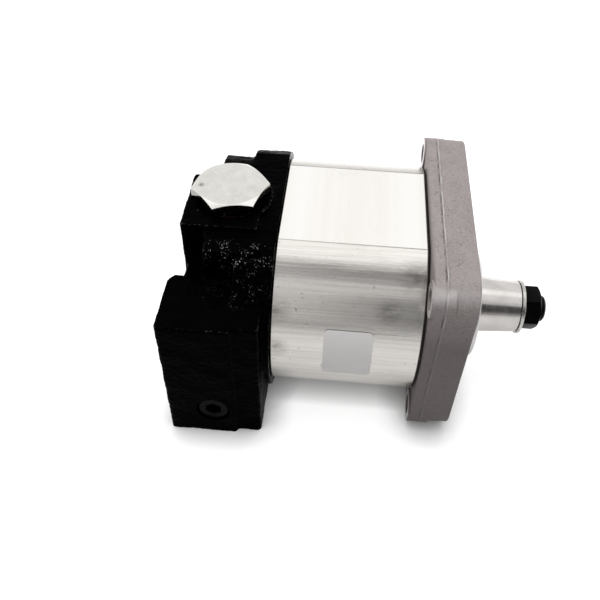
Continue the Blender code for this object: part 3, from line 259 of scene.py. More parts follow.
def turned(profile, segments, axis="X", centre=(0, 0), ring=False):
    """A profile of (distance, radius) spun round an axis, as a solid or as a ring."""
    bm = bmesh.new()
    sections = [(along, circle(centre, radius, segments)) for along, radius in profile]
    rings = [[bm.verts.new(place(axis, along, u, v)) for u, v in outline] for along, outline in sections]
    pairs = list(zip(rings, rings[1:]))
    if ring:
        pairs.append((rings[-1], rings[0]))
    for first, second in pairs:
        for i in range(segments):
            j = (i + 1) % segments
            bm.faces.new((first[i], first[j], second[j], second[i]))
    if not ring:
        bm.faces.new(rings[0])
        bm.faces.new(rings[-1])
    bmesh.ops.recalc_face_normals(bm, faces=bm.faces)
    return bm


def gathered(shapes):
    """Several bmesh shapes in one."""
    whole = bmesh.new()
    for shape in shapes:
        mesh = to_mesh(shape)
        whole.from_mesh(mesh)
        bpy.data.meshes.remove(mesh)
    return whole


def to_mesh(bm):
    """A mesh from a bmesh, which is freed."""
    mesh = bpy.data.meshes.new("shape")
    bm.to_mesh(mesh)
    bm.free()
    return mesh


def new_object(name, bm):
    """An object from a bmesh shape."""
    piece = bpy.data.objects.new(name, to_mesh(bm))
    bpy.context.scene.collection.objects.link(piece)
    return piece


def settle(piece):
    """Turn a piece's modifiers into its mesh."""
    graph = bpy.context.evaluated_depsgraph_get()
    mesh = bpy.data.meshes.new_from_object(piece.evaluated_get(graph))
    piece.modifiers.clear()
    piece.data = mesh
    return piece


def combine(piece, shapes, operation="DIFFERENCE", solver="EXACT"):
    """Cut shapes from a piece, or join them to it, one after another."""
    tools = []
    for shape in shapes:
        tool = new_object("tool", shape)
        step = piece.modifiers.new("step", "BOOLEAN")
        step.operation = operation
        step.solver = solver
        step.object = tool
        tools.append(tool)
    settle(piece)
    for tool in tools:
        bpy.data.objects.remove(tool)
    return piece


def smooth(piece, degrees=32):
    """Shade a piece smooth up to an angle."""
    piece.data.shade_smooth()
    piece.data.set_sharp_from_angle(angle=math.radians(degrees))


def finish_piece(piece, name, body, nodes, material, degrees=32):
    """Move a piece to its place in the frame, and give it its name, body and material."""
    piece.name = name
    piece.data.name = name
    piece.data.transform(Matrix.Translation(AXIS))
    smooth(piece, degrees)
    if not any(piece.data.materials):
        piece.data.materials.clear()
        piece.data.materials.append(material)
    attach(piece, body)
    if nodes:
        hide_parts(*nodes)
    return piece


def roughen(piece, fine, coarse, fine_size, coarse_size):
    """Push points along their normals by two scales of noise."""
    mesh = piece.data
    normals = [Vector(item.vector) for item in mesh.vertex_normals]
    for vertex, normal in zip(mesh.vertices, normals):
        push = fine * noise.noise(vertex.co / fine_size) + coarse * noise.noise(vertex.co / coarse_size)
        vertex.co += normal * push


# Materials


def seen_rays(tree):
    """A value of one on rays from the camera, a reflection or a transmission."""
    path = tree.nodes.new("ShaderNodeLightPath")
    either = path.outputs["Is Camera Ray"]
    for name in ("Is Glossy Ray", "Is Transmission Ray"):
        node = tree.nodes.new("ShaderNodeMath")
        node.operation = "MAXIMUM"
        tree.links.new(either, node.inputs[0])
        tree.links.new(path.outputs[name], node.inputs[1])
        either = node.outputs[0]
    return either


class Nodes:
    """A material's node tree with a Principled shader, and short ways to add nodes to it."""

    def __init__(self, name, colour, roughness, metallic=0.0, specular=0.5):
        self.material = bpy.data.materials.new(name)
        self.material.use_nodes = True
        self.tree = self.material.node_tree
        self.shader = self.tree.nodes["Principled BSDF"]
        self.shader.inputs["Base Color"].default_value = (*colour, 1)
        self.shader.inputs["Roughness"].default_value = roughness
        self.shader.inputs["Metallic"].default_value = metallic
        self.shader.inputs["Specular IOR Level"].default_value = specular
        self.coordinates = self.tree.nodes.new("ShaderNodeTexCoord").outputs["Object"]

    def add(self, kind, **values):
        """A node with its inputs set by name, or linked where the value is a socket."""
        node = self.tree.nodes.new(kind)
        for key, value in values.items():
            if hasattr(node, key):
                setattr(node, key, value)
                continue
            socket = node.inputs[int(key[1:])] if key[1:].isdigit() else node.inputs[key.replace("_", " ")]
            if isinstance(value, bpy.types.NodeSocket):
                self.tree.links.new(value, socket)
            else:
                socket.default_value = value
        return node

    def stretched(self, scale):
        """The coordinates, scaled by axis so that a texture runs long along one of them."""
        return self.add("ShaderNodeMapping", Vector=self.coordinates, Scale=scale).outputs["Vector"]

    def noise(self, scale, detail=4.0, roughness=0.55, vector=None, distortion=0.0):
        """A noise texture's value."""
        node = self.add(
            "ShaderNodeTexNoise", Vector=vector or self.coordinates, Scale=scale, Detail=detail,
            Roughness=roughness, Distortion=distortion,
        )
        return node.outputs[0]

    def ramp(self, value, low, high, start=0.0, end=1.0):
        """A value mapped from low..high to start..end."""
        return self.add(
            "ShaderNodeMapRange", Value=value, From_Min=low, From_Max=high, To_Min=start, To_Max=end,
        ).outputs[0]

    def math(self, operation, first, second=0.0):
        """One math operation."""
        return self.add("ShaderNodeMath", operation=operation, i0=first, i1=second).outputs[0]

    def mix(self, share, first, second):
        """Two colours mixed by a share; each may be a socket."""
        node = self.tree.nodes.new("ShaderNodeMix")
        node.data_type = "RGBA"
        for index, value in ((0, share), (6, first), (7, second)):
            if isinstance(value, bpy.types.NodeSocket):
                self.tree.links.new(value, node.inputs[index])
            elif index == 0:
                node.inputs[index].default_value = value
            else:
                node.inputs[index].default_value = (*value, 1)
        return node.outputs[2]

    def bump(self, heights):
        """A chain of bumps, each (height value, strength, distance in metres)."""
        normal = None
        for height, strength, distance in heights:
            node = self.add("ShaderNodeBump", Height=height, Strength=strength, Distance=distance)
            if normal is not None:
                self.tree.links.new(normal, node.inputs["Normal"])
            normal = node.outputs[0]
        self.link(normal, "Normal")

    def link(self, value, socket):
        """Link a value to the shader."""
        self.tree.links.new(value, self.shader.inputs[socket])

    def spot(self, centre, radius, softness, along=1.0):
        """One inside a ball round a point given from the shaft axis, fading to zero over softness.

        A value of along under one stretches the ball along X.
        """
        middle = AXIS + Vector(centre)
        far = self.add(
            "ShaderNodeVectorMath", operation="DISTANCE", i0=self.stretched((along, 1, 1)),
            i1=(middle.x * along, middle.y, middle.z),
        ).outputs["Value"]
        return self.ramp(far, radius, radius + softness, 1.0, 0.0)

    def band(self, x, width):
        """One at a distance x from the mounting face, fading to zero over width to both sides."""
        along = self.add("ShaderNodeSeparateXYZ", Vector=self.coordinates).outputs["X"]
        away = self.math("ABSOLUTE", self.math("SUBTRACT", along, AXIS.x + x))
        return self.ramp(away, width * 0.3, width, 1.0, 0.0)


def cast_grey():
    """Blasted grey casting: sandy grain, with a painted highlight along the parting line and the top near
    corner, a painted shadow just behind the parting line, and painted shade low on the near side.
    """
    m = Nodes("cast_grey", (0.28, 0.255, 0.257), 0.5, 0.15, 0.4)
    grain = m.noise(1500, 3, 0.7)
    cloud = m.noise(110, 4, 0.6)
    speck = m.noise(650, 2, 0.5)
    dark = m.mix(m.ramp(cloud, 0.3, 0.7), (0.22, 0.191, 0.189), (0.305, 0.267, 0.265))
    light = m.mix(m.ramp(grain, 0.35, 0.7), dark, (0.395, 0.350, 0.344))
    pitted = m.mix(m.ramp(speck, 0.62, 0.75, 0, 0.6), light, (0.10, 0.09, 0.09))
    broken = m.ramp(m.noise(130, 3), 0.42, 0.55, 0.15, 0.8)
    # Painted shadow: a darker strip just behind the parting line, broken by noise.
    shade = m.math("MULTIPLY", m.band(PARTING_X - 0.00065, 0.0006), broken)
    line_shadow_painted = m.mix(shade, pitted, (0.07, 0.06, 0.06))
    # Painted highlight: a pale strip on the parting line ridge.
    line_highlight_painted = m.mix(m.math("MULTIPLY", m.band(PARTING_X, 0.0004), broken), line_shadow_painted, (0.60, 0.57, 0.57))
    # Painted shade: darker towards the bottom of the near side.
    low = m.math("MULTIPLY", m.spot((-0.0095, -0.0440, -0.0200), 0.036, 0.026), 0.72)
    low_shade_painted = m.mix(low, line_highlight_painted, (0.112, 0.094, 0.090))
    # Painted highlight: a pale streak along the rounded top near corner.
    corner = m.spot((-0.0100, -0.0400, 0.0435), 0.0012, 0.0042, 0.12)
    ridge = m.math("MULTIPLY", corner, m.ramp(cloud, 0.4, 0.6, 0.35, 0.8))
    m.link(m.mix(ridge, low_shade_painted, (0.52, 0.495, 0.49)), "Base Color")
    m.link(m.ramp(grain, 0.3, 0.7, 0.42, 0.62), "Roughness")
    m.bump([(cloud, 0.4, 0.0006), (grain, 0.55, 0.00025), (speck, 0.3, 0.0004)])
    return m.material


def machined_grey():
    """The front cover's turned and faced surfaces."""
    m = Nodes("machined_grey", (0.62, 0.60, 0.60), 0.28, 1.0)
    lines = m.noise(900, 2, 0.5, m.stretched((1, 0.04, 0.04)))
    cloud = m.noise(90, 3)
    m.link(m.mix(m.ramp(cloud, 0.3, 0.7), (0.54, 0.52, 0.52), (0.66, 0.64, 0.64)), "Base Color")
    m.link(m.ramp(lines, 0.3, 0.7, 0.22, 0.36), "Roughness")
    m.bump([(lines, 0.12, 0.00012)])
    return m.material


def extruded_aluminium():
    """Drawn aluminium: fine lines along X, cloudy stains, small pits, and darker patches near the cover and
    the flange painted as their reflection.
    """
    m = Nodes("extruded_aluminium", (0.72, 0.71, 0.69), 0.34, 1.0)
    fine = m.noise(1100, 3, 0.6, m.stretched((0.018, 1, 1)))
    broad = m.noise(160, 3, 0.6, m.stretched((0.05, 1, 1)))
    stain = m.noise(45, 5, 0.6, m.stretched((0.5, 1, 1)))
    pits = m.noise(520, 2, 0.5)
    base = m.mix(m.ramp(broad, 0.3, 0.7), (0.54, 0.515, 0.485), (0.69, 0.665, 0.632))
    streaked = m.mix(m.ramp(fine, 0.35, 0.65, 0, 0.55), base, (0.75, 0.725, 0.695))
    stained = m.mix(m.ramp(stain, 0.52, 0.75, 0, 0.4), streaked, (0.43, 0.40, 0.36))
    # Painted reflection: darker patches on the round side near the black cover and near the flange.
    dark_reflection_mask = m.spot((-0.0815, -0.0345, 0.0230), 0.0005, 0.0075)
    dark_reflection_spots = [((-0.0338, -0.0330, 0.0252), 0.0065), ((-0.0805, -0.0410, 0.0060), 0.0060),
               ((-0.0240, -0.0215, 0.0355), 0.0090)]
    for centre, radius in dark_reflection_spots:
        dark_reflection_mask = m.math("MAXIMUM", dark_reflection_mask, m.spot(centre, 0.0004, radius))
    patchy = m.noise(260, 4, 0.7, m.stretched((0.4, 1, 1)))
    cloudy = m.math("MULTIPLY", dark_reflection_mask, m.ramp(patchy, 0.35, 0.6, 0.1, 0.75))
    painted_reflection_tone = m.mix(cloudy, stained, (0.20, 0.185, 0.165))
    m.link(m.mix(m.ramp(pits, 0.70, 0.76, 0, 0.7), painted_reflection_tone, (0.25, 0.24, 0.23)), "Base Color")
    m.link(m.ramp(broad, 0.3, 0.7, 0.20, 0.29), "Roughness")
    m.bump([(broad, 0.35, 0.0004), (fine, 0.4, 0.00012), (pits, 0.12, 0.0002)])
    return m.material


def milled_aluminium():
    """The body's flats: broad soft bands across X and fine cutter marks."""
    m = Nodes("milled_aluminium", (0.86, 0.85, 0.83), 0.30, 1.0)
    band = m.noise(85, 2, 0.5, m.stretched((1, 0.03, 0.03)))
    fine = m.noise(900, 2, 0.5, m.stretched((1, 0.03, 0.03)))
    marks = m.noise(60, 4, 0.6)
    base = m.mix(m.ramp(band, 0.35, 0.65), (0.93, 0.895, 0.85), (0.98, 0.965, 0.93))
    m.link(m.mix(m.ramp(marks, 0.6, 0.8, 0, 0.25), base, (0.70, 0.69, 0.66)), "Base Color")
    m.link(m.ramp(fine, 0.3, 0.7, 0.20, 0.28), "Roughness")
    m.bump([(band, 0.12, 0.0004), (fine, 0.12, 0.0001)])
    return m.material


def black_paint():
    """Gloss black paint over a rough casting, with pale worn edges that are partly painted highlight, and
    painted glints on the shoulder.
    """
    m = Nodes("black_paint", (0.001, 0.001, 0.001), 0.22, 0.0, 0.04)
    cast = m.noise(620, 4, 0.65)
    edges = m.add("ShaderNodeNewGeometry").outputs["Pointiness"]
    m.link(m.ramp(edges, 0.54, 0.62, 0.006, 0.5), "Specular IOR Level")
    cloud = m.noise(150, 3, 0.6)
    paint = m.mix(m.ramp(cloud, 0.4, 0.8), (0.0004, 0.0004, 0.0004), (0.0009, 0.0009, 0.0009))
    # Pale paint on sharp edges, broken into patches: partly real wear and partly a painted highlight along
    # the edges.
    worn = m.math("MULTIPLY", m.ramp(edges, 0.54, 0.58), m.ramp(m.noise(1100, 3, 0.7), 0.56, 0.62))
    patch = m.math("MULTIPLY", m.ramp(m.noise(70, 2), 0.44, 0.60), 0.7)
    # Painted glints: pale specks clustered along the shoulder's near top edge.
    near = m.math("MAXIMUM", m.spot((-0.1020, -0.0225, 0.0405), 0.003, 0.006, 0.35),
                  m.math("MULTIPLY", m.spot((-0.0960, -0.0300, 0.0300), 0.002, 0.010, 0.6), 0.3))
    glint_specks = m.ramp(m.noise(1300, 3, 0.7), 0.60, 0.64)
    clustered_glints = m.math("MULTIPLY", glint_specks, m.ramp(m.noise(230, 2), 0.50, 0.56))
    painted_glints = m.math("MULTIPLY", near, clustered_glints)
    wear_and_glints = m.math("MAXIMUM", m.math("MULTIPLY", worn, patch), painted_glints)
    m.link(m.mix(wear_and_glints, paint, (0.46, 0.45, 0.44)), "Base Color")
    m.link(m.ramp(cloud, 0.3, 0.7, 0.18, 0.32), "Roughness")
    m.bump([(cast, 0.35, 0.0004), (cloud, 0.3, 0.0006)])
    return m.material


def polished_steel():
    """Ground shaft steel with fine rings round X."""
    m = Nodes("polished_steel", (0.66, 0.65, 0.64), 0.16, 1.0)
    rings = m.noise(1600, 2, 0.5, m.stretched((1, 0.02, 0.02)))
    cloud = m.noise(120, 3)
    ground = m.mix(m.ramp(cloud, 0.3, 0.7), (0.56, 0.535, 0.515), (0.66, 0.64, 0.62))
    along = m.add("ShaderNodeSeparateXYZ", Vector=m.coordinates).outputs["X"]
    threaded = m.ramp(along, AXIS.x + NUT_HIGH.x - 0.0015, AXIS.x + NUT_HIGH.x - 0.0010)
    m.link(m.mix(threaded, ground, (0.006, 0.006, 0.006)), "Base Color")
    m.link(m.ramp(rings, 0.3, 0.7, 0.16, 0.28), "Roughness")
    m.bump([(rings, 0.1, 0.00008)])
    return m.material


def zinc_plate(name="zinc_plate"):
    """Bright zinc with soft mottling, a dark stain and specks near one corner."""
    m = Nodes(name, (0.72, 0.72, 0.69), 0.36, 1.0)
    mottle = m.noise(210, 4, 0.6)
    grain = m.noise(1300, 2, 0.6)
    speck = m.noise(1500, 2, 0.6)
    base = m.mix(m.ramp(mottle, 0.3, 0.7), (0.65, 0.635, 0.60), (0.77, 0.755, 0.72))
    grainy = m.mix(m.ramp(grain, 0.3, 0.7, 0, 0.35), base, (0.83, 0.815, 0.785))
    near = m.spot((-0.1190, 0.0090, 0.0511), 0.0003, 0.0062)
    specks = m.math("MULTIPLY", m.ramp(speck, 0.60, 0.66), m.math("MULTIPLY", near, 0.75))
    stain = m.math("MULTIPLY", m.spot((-0.1181, 0.0094, 0.0511), 0.0002, 0.0016), 0.8)
    speckled = m.mix(specks, grainy, (0.24, 0.24, 0.22))
    m.link(m.mix(stain, speckled, (0.19, 0.19, 0.17)), "Base Color")
    m.link(m.ramp(mottle, 0.3, 0.7, 0.22, 0.30), "Roughness")
    m.bump([(mottle, 0.15, 0.0004), (grain, 0.15, 0.0001)])
    return m.material


def black_steel():
    """Blackened steel with a cloudy tone and fine grain."""
    m = Nodes("black_steel", (0.003, 0.003, 0.003), 0.28, 0.0, 0.035)
    cloud = m.noise(260, 4, 0.6)
    grain = m.noise(1500, 2)
    m.link(m.mix(m.ramp(cloud, 0.4, 0.75), (0.001, 0.001, 0.001), (0.004, 0.004, 0.004)), "Base Color")
    m.link(m.ramp(grain, 0.3, 0.7, 0.22, 0.34), "Roughness")
    m.bump([(cloud, 0.2, 0.0003), (grain, 0.15, 0.0001)])
    return m.material


def plain_metal(name, colour, roughness, spread=0.06):
    """Machined metal of one colour with fine cloudy variation."""
    m = Nodes(name, colour, roughness, 1.0)
    cloud = m.noise(240, 4)
    grain = m.noise(1400, 2)
    low = tuple(c * 0.82 for c in colour)
    high = tuple(min(1, c * 1.12) for c in colour)
    m.link(m.mix(m.ramp(cloud, 0.3, 0.7), low, high), "Base Color")
    m.link(m.ramp(grain, 0.3, 0.7, roughness - spread, roughness + spread), "Roughness")
    m.bump([(grain, 0.12, 0.0001)])
    return m.material


def rubber():
    """Moulded black rubber."""
    m = Nodes("seal_rubber", (0.018, 0.018, 0.018), 0.6, 0.0, 0.4)
    cloud = m.noise(300, 3)
    m.link(m.mix(cloud, (0.012, 0.012, 0.012), (0.028, 0.027, 0.026)), "Base Color")
    m.link(m.ramp(cloud, 0.3, 0.7, 0.52, 0.7), "Roughness")
    m.bump([(m.noise(1800, 2), 0.1, 0.0001)])
    return m.material


def label_paper():
    """Satin white label stock."""
    m = Nodes("label_stock", (0.88, 0.86, 0.85), 0.42, 0.0, 0.4)
    cloud = m.noise(120, 3)
    m.link(m.mix(m.ramp(cloud, 0.3, 0.7), (0.91, 0.885, 0.875), (0.94, 0.92, 0.91)), "Base Color")
    m.link(m.ramp(cloud, 0.3, 0.7, 0.36, 0.5), "Roughness")
    m.bump([(m.noise(2200, 2), 0.08, 0.00005)])
    return m.material


# Pieces


def flange_rim(inset):
    """The flange's outline, moved in by inset, with points close together all round."""
    y0, y1 = FLANGE_LOW.y + inset, FLANGE_HIGH.y - inset
    z0, z1 = FLANGE_LOW.z + inset, FLANGE_HIGH.z - inset
    radius = FLANGE_CORNER - inset
    step = 0.0012
    corners = [(y0 + radius, z0 + radius), (y1 - radius, z0 + radius),
               (y1 - radius, z1 - radius), (y0 + radius, z1 - radius)]
    points = []
    for k, centre in enumerate(corners):
        start = math.pi + k * math.pi / 2
        points.extend(arc(centre, radius, start, start + math.pi / 2, 16))
        here = Vector(points[-1])
        following = corners[(k + 1) % 4]
        turned_to = start + math.pi / 2
        after = Vector(following) + radius * Vector((math.cos(turned_to), math.sin(turned_to)))
        count = round(((after - here).length + inset) / step)
        points.extend(tuple(here.lerp(after, i / count)) for i in range(1, count))
    return points


def near_bolt(point):
    """Whether a point is beside one of the mounting holes."""
    return any(math.hypot(point.y - y, point.z - z) < BOLT_PAD_RADIUS + 0.0005 for y, z in MOUNTING_HOLES)


def dowel_holes(low, high):
    """The holes round the dowels of a joint."""
    return gathered([prism(circle((spot.y, spot.z), DOWEL_RADIUS, 24), low, high) for spot in DOWELS])


def bolt_holes(low, high):
    """The holes that the through bolts pass through."""
    return gathered([prism(circle((spot.y, spot.z), THROUGH_BOLT_RADIUS, 28), low, high) for spot in BOLTS])


def front_cover():
    """The cast front cover with its parting line, pads, spigot and bores."""
    rim_back = FLANGE_BACK + PAD_HEIGHT
    base = FLASH_HEIGHT + 0.0003
    sections = [(0.0, base + 0.0004), (-0.0004, base)]
    rows = 46
    for k in range(1, rows):
        x = -0.0004 + (rim_back + RIM_EDGE + 0.0004) * k / rows
        sections.append((x, base - 0.0003 * max(0, 1 - abs(x - PARTING_X) / 0.013)))
    for k in range(5):
        turn = math.pi / 2 * k / 4
        inset = base + RIM_EDGE * (1 - math.cos(turn))
        sections.append((rim_back + RIM_EDGE * (1 - math.sin(turn)), inset))
    cover = new_object("flange", loft([(x, flange_rim(0.0)) for x, inset in sections]))
    count = len(flange_rim(0.0))
    insets = [inset for x, inset in sections for _ in range(count)]
    middle = (FLANGE_LOW + FLANGE_HIGH) / 2
    corner = Vector((0, FLANGE_LOW.y + FLANGE_CORNER / 2, FLANGE_HIGH.z - FLANGE_CORNER / 2))
    outline = flange_rim(0.0)
    for index, (vertex, inset) in enumerate(zip(cover.data.vertices, insets)):
        y, z = outline[index % count]
        inner_y = min(max(y, FLANGE_LOW.y + FLANGE_CORNER), FLANGE_HIGH.y - FLANGE_CORNER)
        inner_z = min(max(z, FLANGE_LOW.z + FLANGE_CORNER), FLANGE_HIGH.z - FLANGE_CORNER)
        outward = Vector((0, y - inner_y, z - inner_z))
        outward = outward.normalized() if outward.length > 1e-6 else (vertex.co - middle).normalized()
        x = vertex.co.x
        grain = 0.00011 * noise.noise(vertex.co / 0.0013) + 0.00022 * noise.noise(vertex.co / 0.009)
        wander = 0.0003 * noise.noise(Vector((y, z, 1.0)) / 0.02)
        near_corner = max(0.0, 1 - (Vector((0, y, z)) - corner).length / 0.035)
        there = 0.35 + 0.9 * noise.noise(Vector((y, z, 5.0)) / 0.012) + 1.3 * near_corner
        off_line = (x - PARTING_X - wander) / FLASH_WIDTH
        flash = FLASH_HEIGHT * min(1.0, max(0.0, there)) * math.exp(-(off_line**2))
        faded = min(1.0, max(0.0, -x / 0.001))
        vertex.co -= outward * (inset - (grain * faded + flash))
    overlap = FLANGE_BACK / 2
    pads = [turned([(overlap, BOLT_PAD_RADIUS), (FLANGE_BACK + 0.0002, BOLT_PAD_RADIUS),
                    (FLANGE_BACK, BOLT_PAD_RADIUS - 0.0002)], 40, centre=spot) for spot in MOUNTING_HOLES]
    pad_outline = stadium(BODY_RADIUS - JOINT_PAD_INSET, BODY_HIGH.z - JOINT_PAD_INSET, 32)
    joint = prism(pad_outline, overlap, FLANGE_BACK)
    spigot = turned([(overlap, SPIGOT_RADIUS), (SPIGOT_LENGTH - SPIGOT_CHAMFER, SPIGOT_RADIUS),
                     (SPIGOT_LENGTH, SPIGOT_RADIUS - SPIGOT_CHAMFER)], 96)
    combine(cover, [joint, gathered(pads), spigot], "UNION")
    back, front = FLANGE_BACK - PAST, SPIGOT_LENGTH + PAST
    seal_floor = SPIGOT_LENGTH - SEAL_BORE_DEPTH
    groove = SEAL_BORE_RADIUS + RETAINER_GROOVE_DEPTH
    groove_low, groove_high = RING_LOW.x - FIT, RING_HIGH.x + FIT
    bore = turned([
        (back, SHAFT_HOLE_RADIUS), (seal_floor, SHAFT_HOLE_RADIUS), (seal_floor, SEAL_BORE_RADIUS),
        (groove_low, SEAL_BORE_RADIUS), (groove_low, groove), (groove_high, groove),
        (groove_high, SEAL_BORE_RADIUS), (SPIGOT_LENGTH - 0.0005, SEAL_BORE_RADIUS),
        (front, SEAL_BORE_RADIUS + 0.0015),
    ], 72)
    hole = [(back, BOLT_HOLE_RADIUS), (-0.0004, BOLT_HOLE_RADIUS), (front, BOLT_HOLE_RADIUS + 0.006)]
    holes = [turned(hole, 40, centre=spot) for spot in MOUNTING_HOLES]
    sunk = [(back, THROUGH_BOLT_RADIUS), (-COUNTERBORE_DEPTH, THROUGH_BOLT_RADIUS),
            (-COUNTERBORE_DEPTH, COUNTERBORE_RADIUS), (front, COUNTERBORE_RADIUS)]
    counterbores = [turned(sunk, 36, centre=(spot.y, spot.z)) for spot in BOLTS]
    dowels = dowel_holes(back, FLANGE_BACK + DOWEL_DEPTH)
    combine(cover, [bore, gathered(holes), gathered(counterbores), dowels])
    cover.data.materials.clear()
    cover.data.materials.append(CAST_GREY)
    cover.data.materials.append(MACHINED_GREY)
    cover.data.materials.append(JOINT_DARK)
    for face in cover.data.polygons:
        centre = face.center
        radial = math.hypot(centre.y, centre.z)
        faced = face.normal.x > 0.9 and centre.x > -0.0002
        bored = radial < SPIGOT_RADIUS + 0.0002 and centre.x > -0.0185 and face.normal.x > -0.9
        pad = face.normal.x < -0.9 and centre.x < FLANGE_BACK + 0.0003
        recess = FLANGE_BACK - 0.0001 < centre.x < rim_back + 0.0001
        inside = abs(centre.z) < BODY_HIGH.z and FLANGE_BACK < centre.x and not bored
        joint_wall = recess and inside and abs(face.normal.x) < 0.5 and not near_bolt(centre)
        face.material_index = 2 if joint_wall else 1 if faced or bored or pad else 0
    nodes, slot = ["front_cover"], "cast_front_cover"
    return finish_piece(cover, "front_cover_casting", "housing", nodes, CAST_GREY)


def body_outline(inset=0.0):
    """The body's section, with a shallow line along each crease where a flat meets a round side."""
    half = BODY_HIGH.z - inset
    points = stadium(BODY_RADIUS - inset, half, 72)
    count = len(points) // 2
    made = []
    for index, point in enumerate(points):
        side = index // count
        first, last = index % count == 0, index % count == count - 1
        if not (first or last):
            made.append(point)
            continue
        across = CREASE_WIDTH if side == 0 else -CREASE_WIDTH
        flat = (point[0] - across, point[1])
        notch = (point[0] - across / 2, point[1] - math.copysign(CREASE_DEPTH, point[1]))
        made.extend([flat, notch, point] if first else [point, notch, flat])
    return made


def seal_groove(path, half, low, high):
    """A groove along a stadium through both gear axes."""
    outer, inner = stadium(path + half, path + half, 48), stadium(path - half, path - half, 48)
    sections = [(low, outer), (high, outer), (high, inner), (low, inner)]
    bm = bmesh.new()
    rings = [[bm.verts.new(place("X", along, u, v)) for u, v in outline] for along, outline in sections]
    for k, ring in enumerate(rings):
        after = rings[(k + 1) % 4]
        for i in range(len(ring)):
            j = (i + 1) % len(ring)
            bm.faces.new((ring[i], ring[j], after[j], after[i]))
    bmesh.ops.recalc_face_normals(bm, faces=bm.faces)
    return bm


def pump_body():
    """The extruded body with its milled flats, gear chamber and bolt holes."""
    low, high = BODY_LOW.x, BODY_HIGH.x
    sections = [(low, body_outline(BODY_CHAMFER)), (low + BODY_CHAMFER, body_outline()),
                (high - BODY_CHAMFER, body_outline()), (high, body_outline(BODY_CHAMFER))]
    body = new_object("body", loft(sections))
    chamber = prism(figure_eight(CHAMBER_RADIUS), low - PAST, high + PAST)
    cuts = [chamber, bolt_holes(low - PAST, high + PAST)]
    cord = (CORD_HIGH.x - CORD_LOW.x) / 2
    path = (CORD_HIGH.z - CORD_LOW.z) / 2 - cord
    for end, inward in ((low, 1), (high, -1)):
        outside = end - inward * PAST
        cuts.append(dowel_holes(*sorted((outside, end + inward * DOWEL_DEPTH))))
        cuts.append(seal_groove(path, cord + FIT, *sorted((outside, end + inward * (2 * cord + FIT)))))
    combine(body, cuts)
    body.data.materials.clear()
    body.data.materials.append(EXTRUDED)
    body.data.materials.append(MILLED)
    for face in body.data.polygons:
        flat = abs(face.normal.z) > 0.999 and abs(face.center.z) > BODY_HIGH.z - 0.0001
        end = abs(face.normal.x) > 0.5
        face.material_index = 1 if flat or end else 0
    return finish_piece(body, "body_extrusion", "housing", ["pump_body"], EXTRUDED, 20)


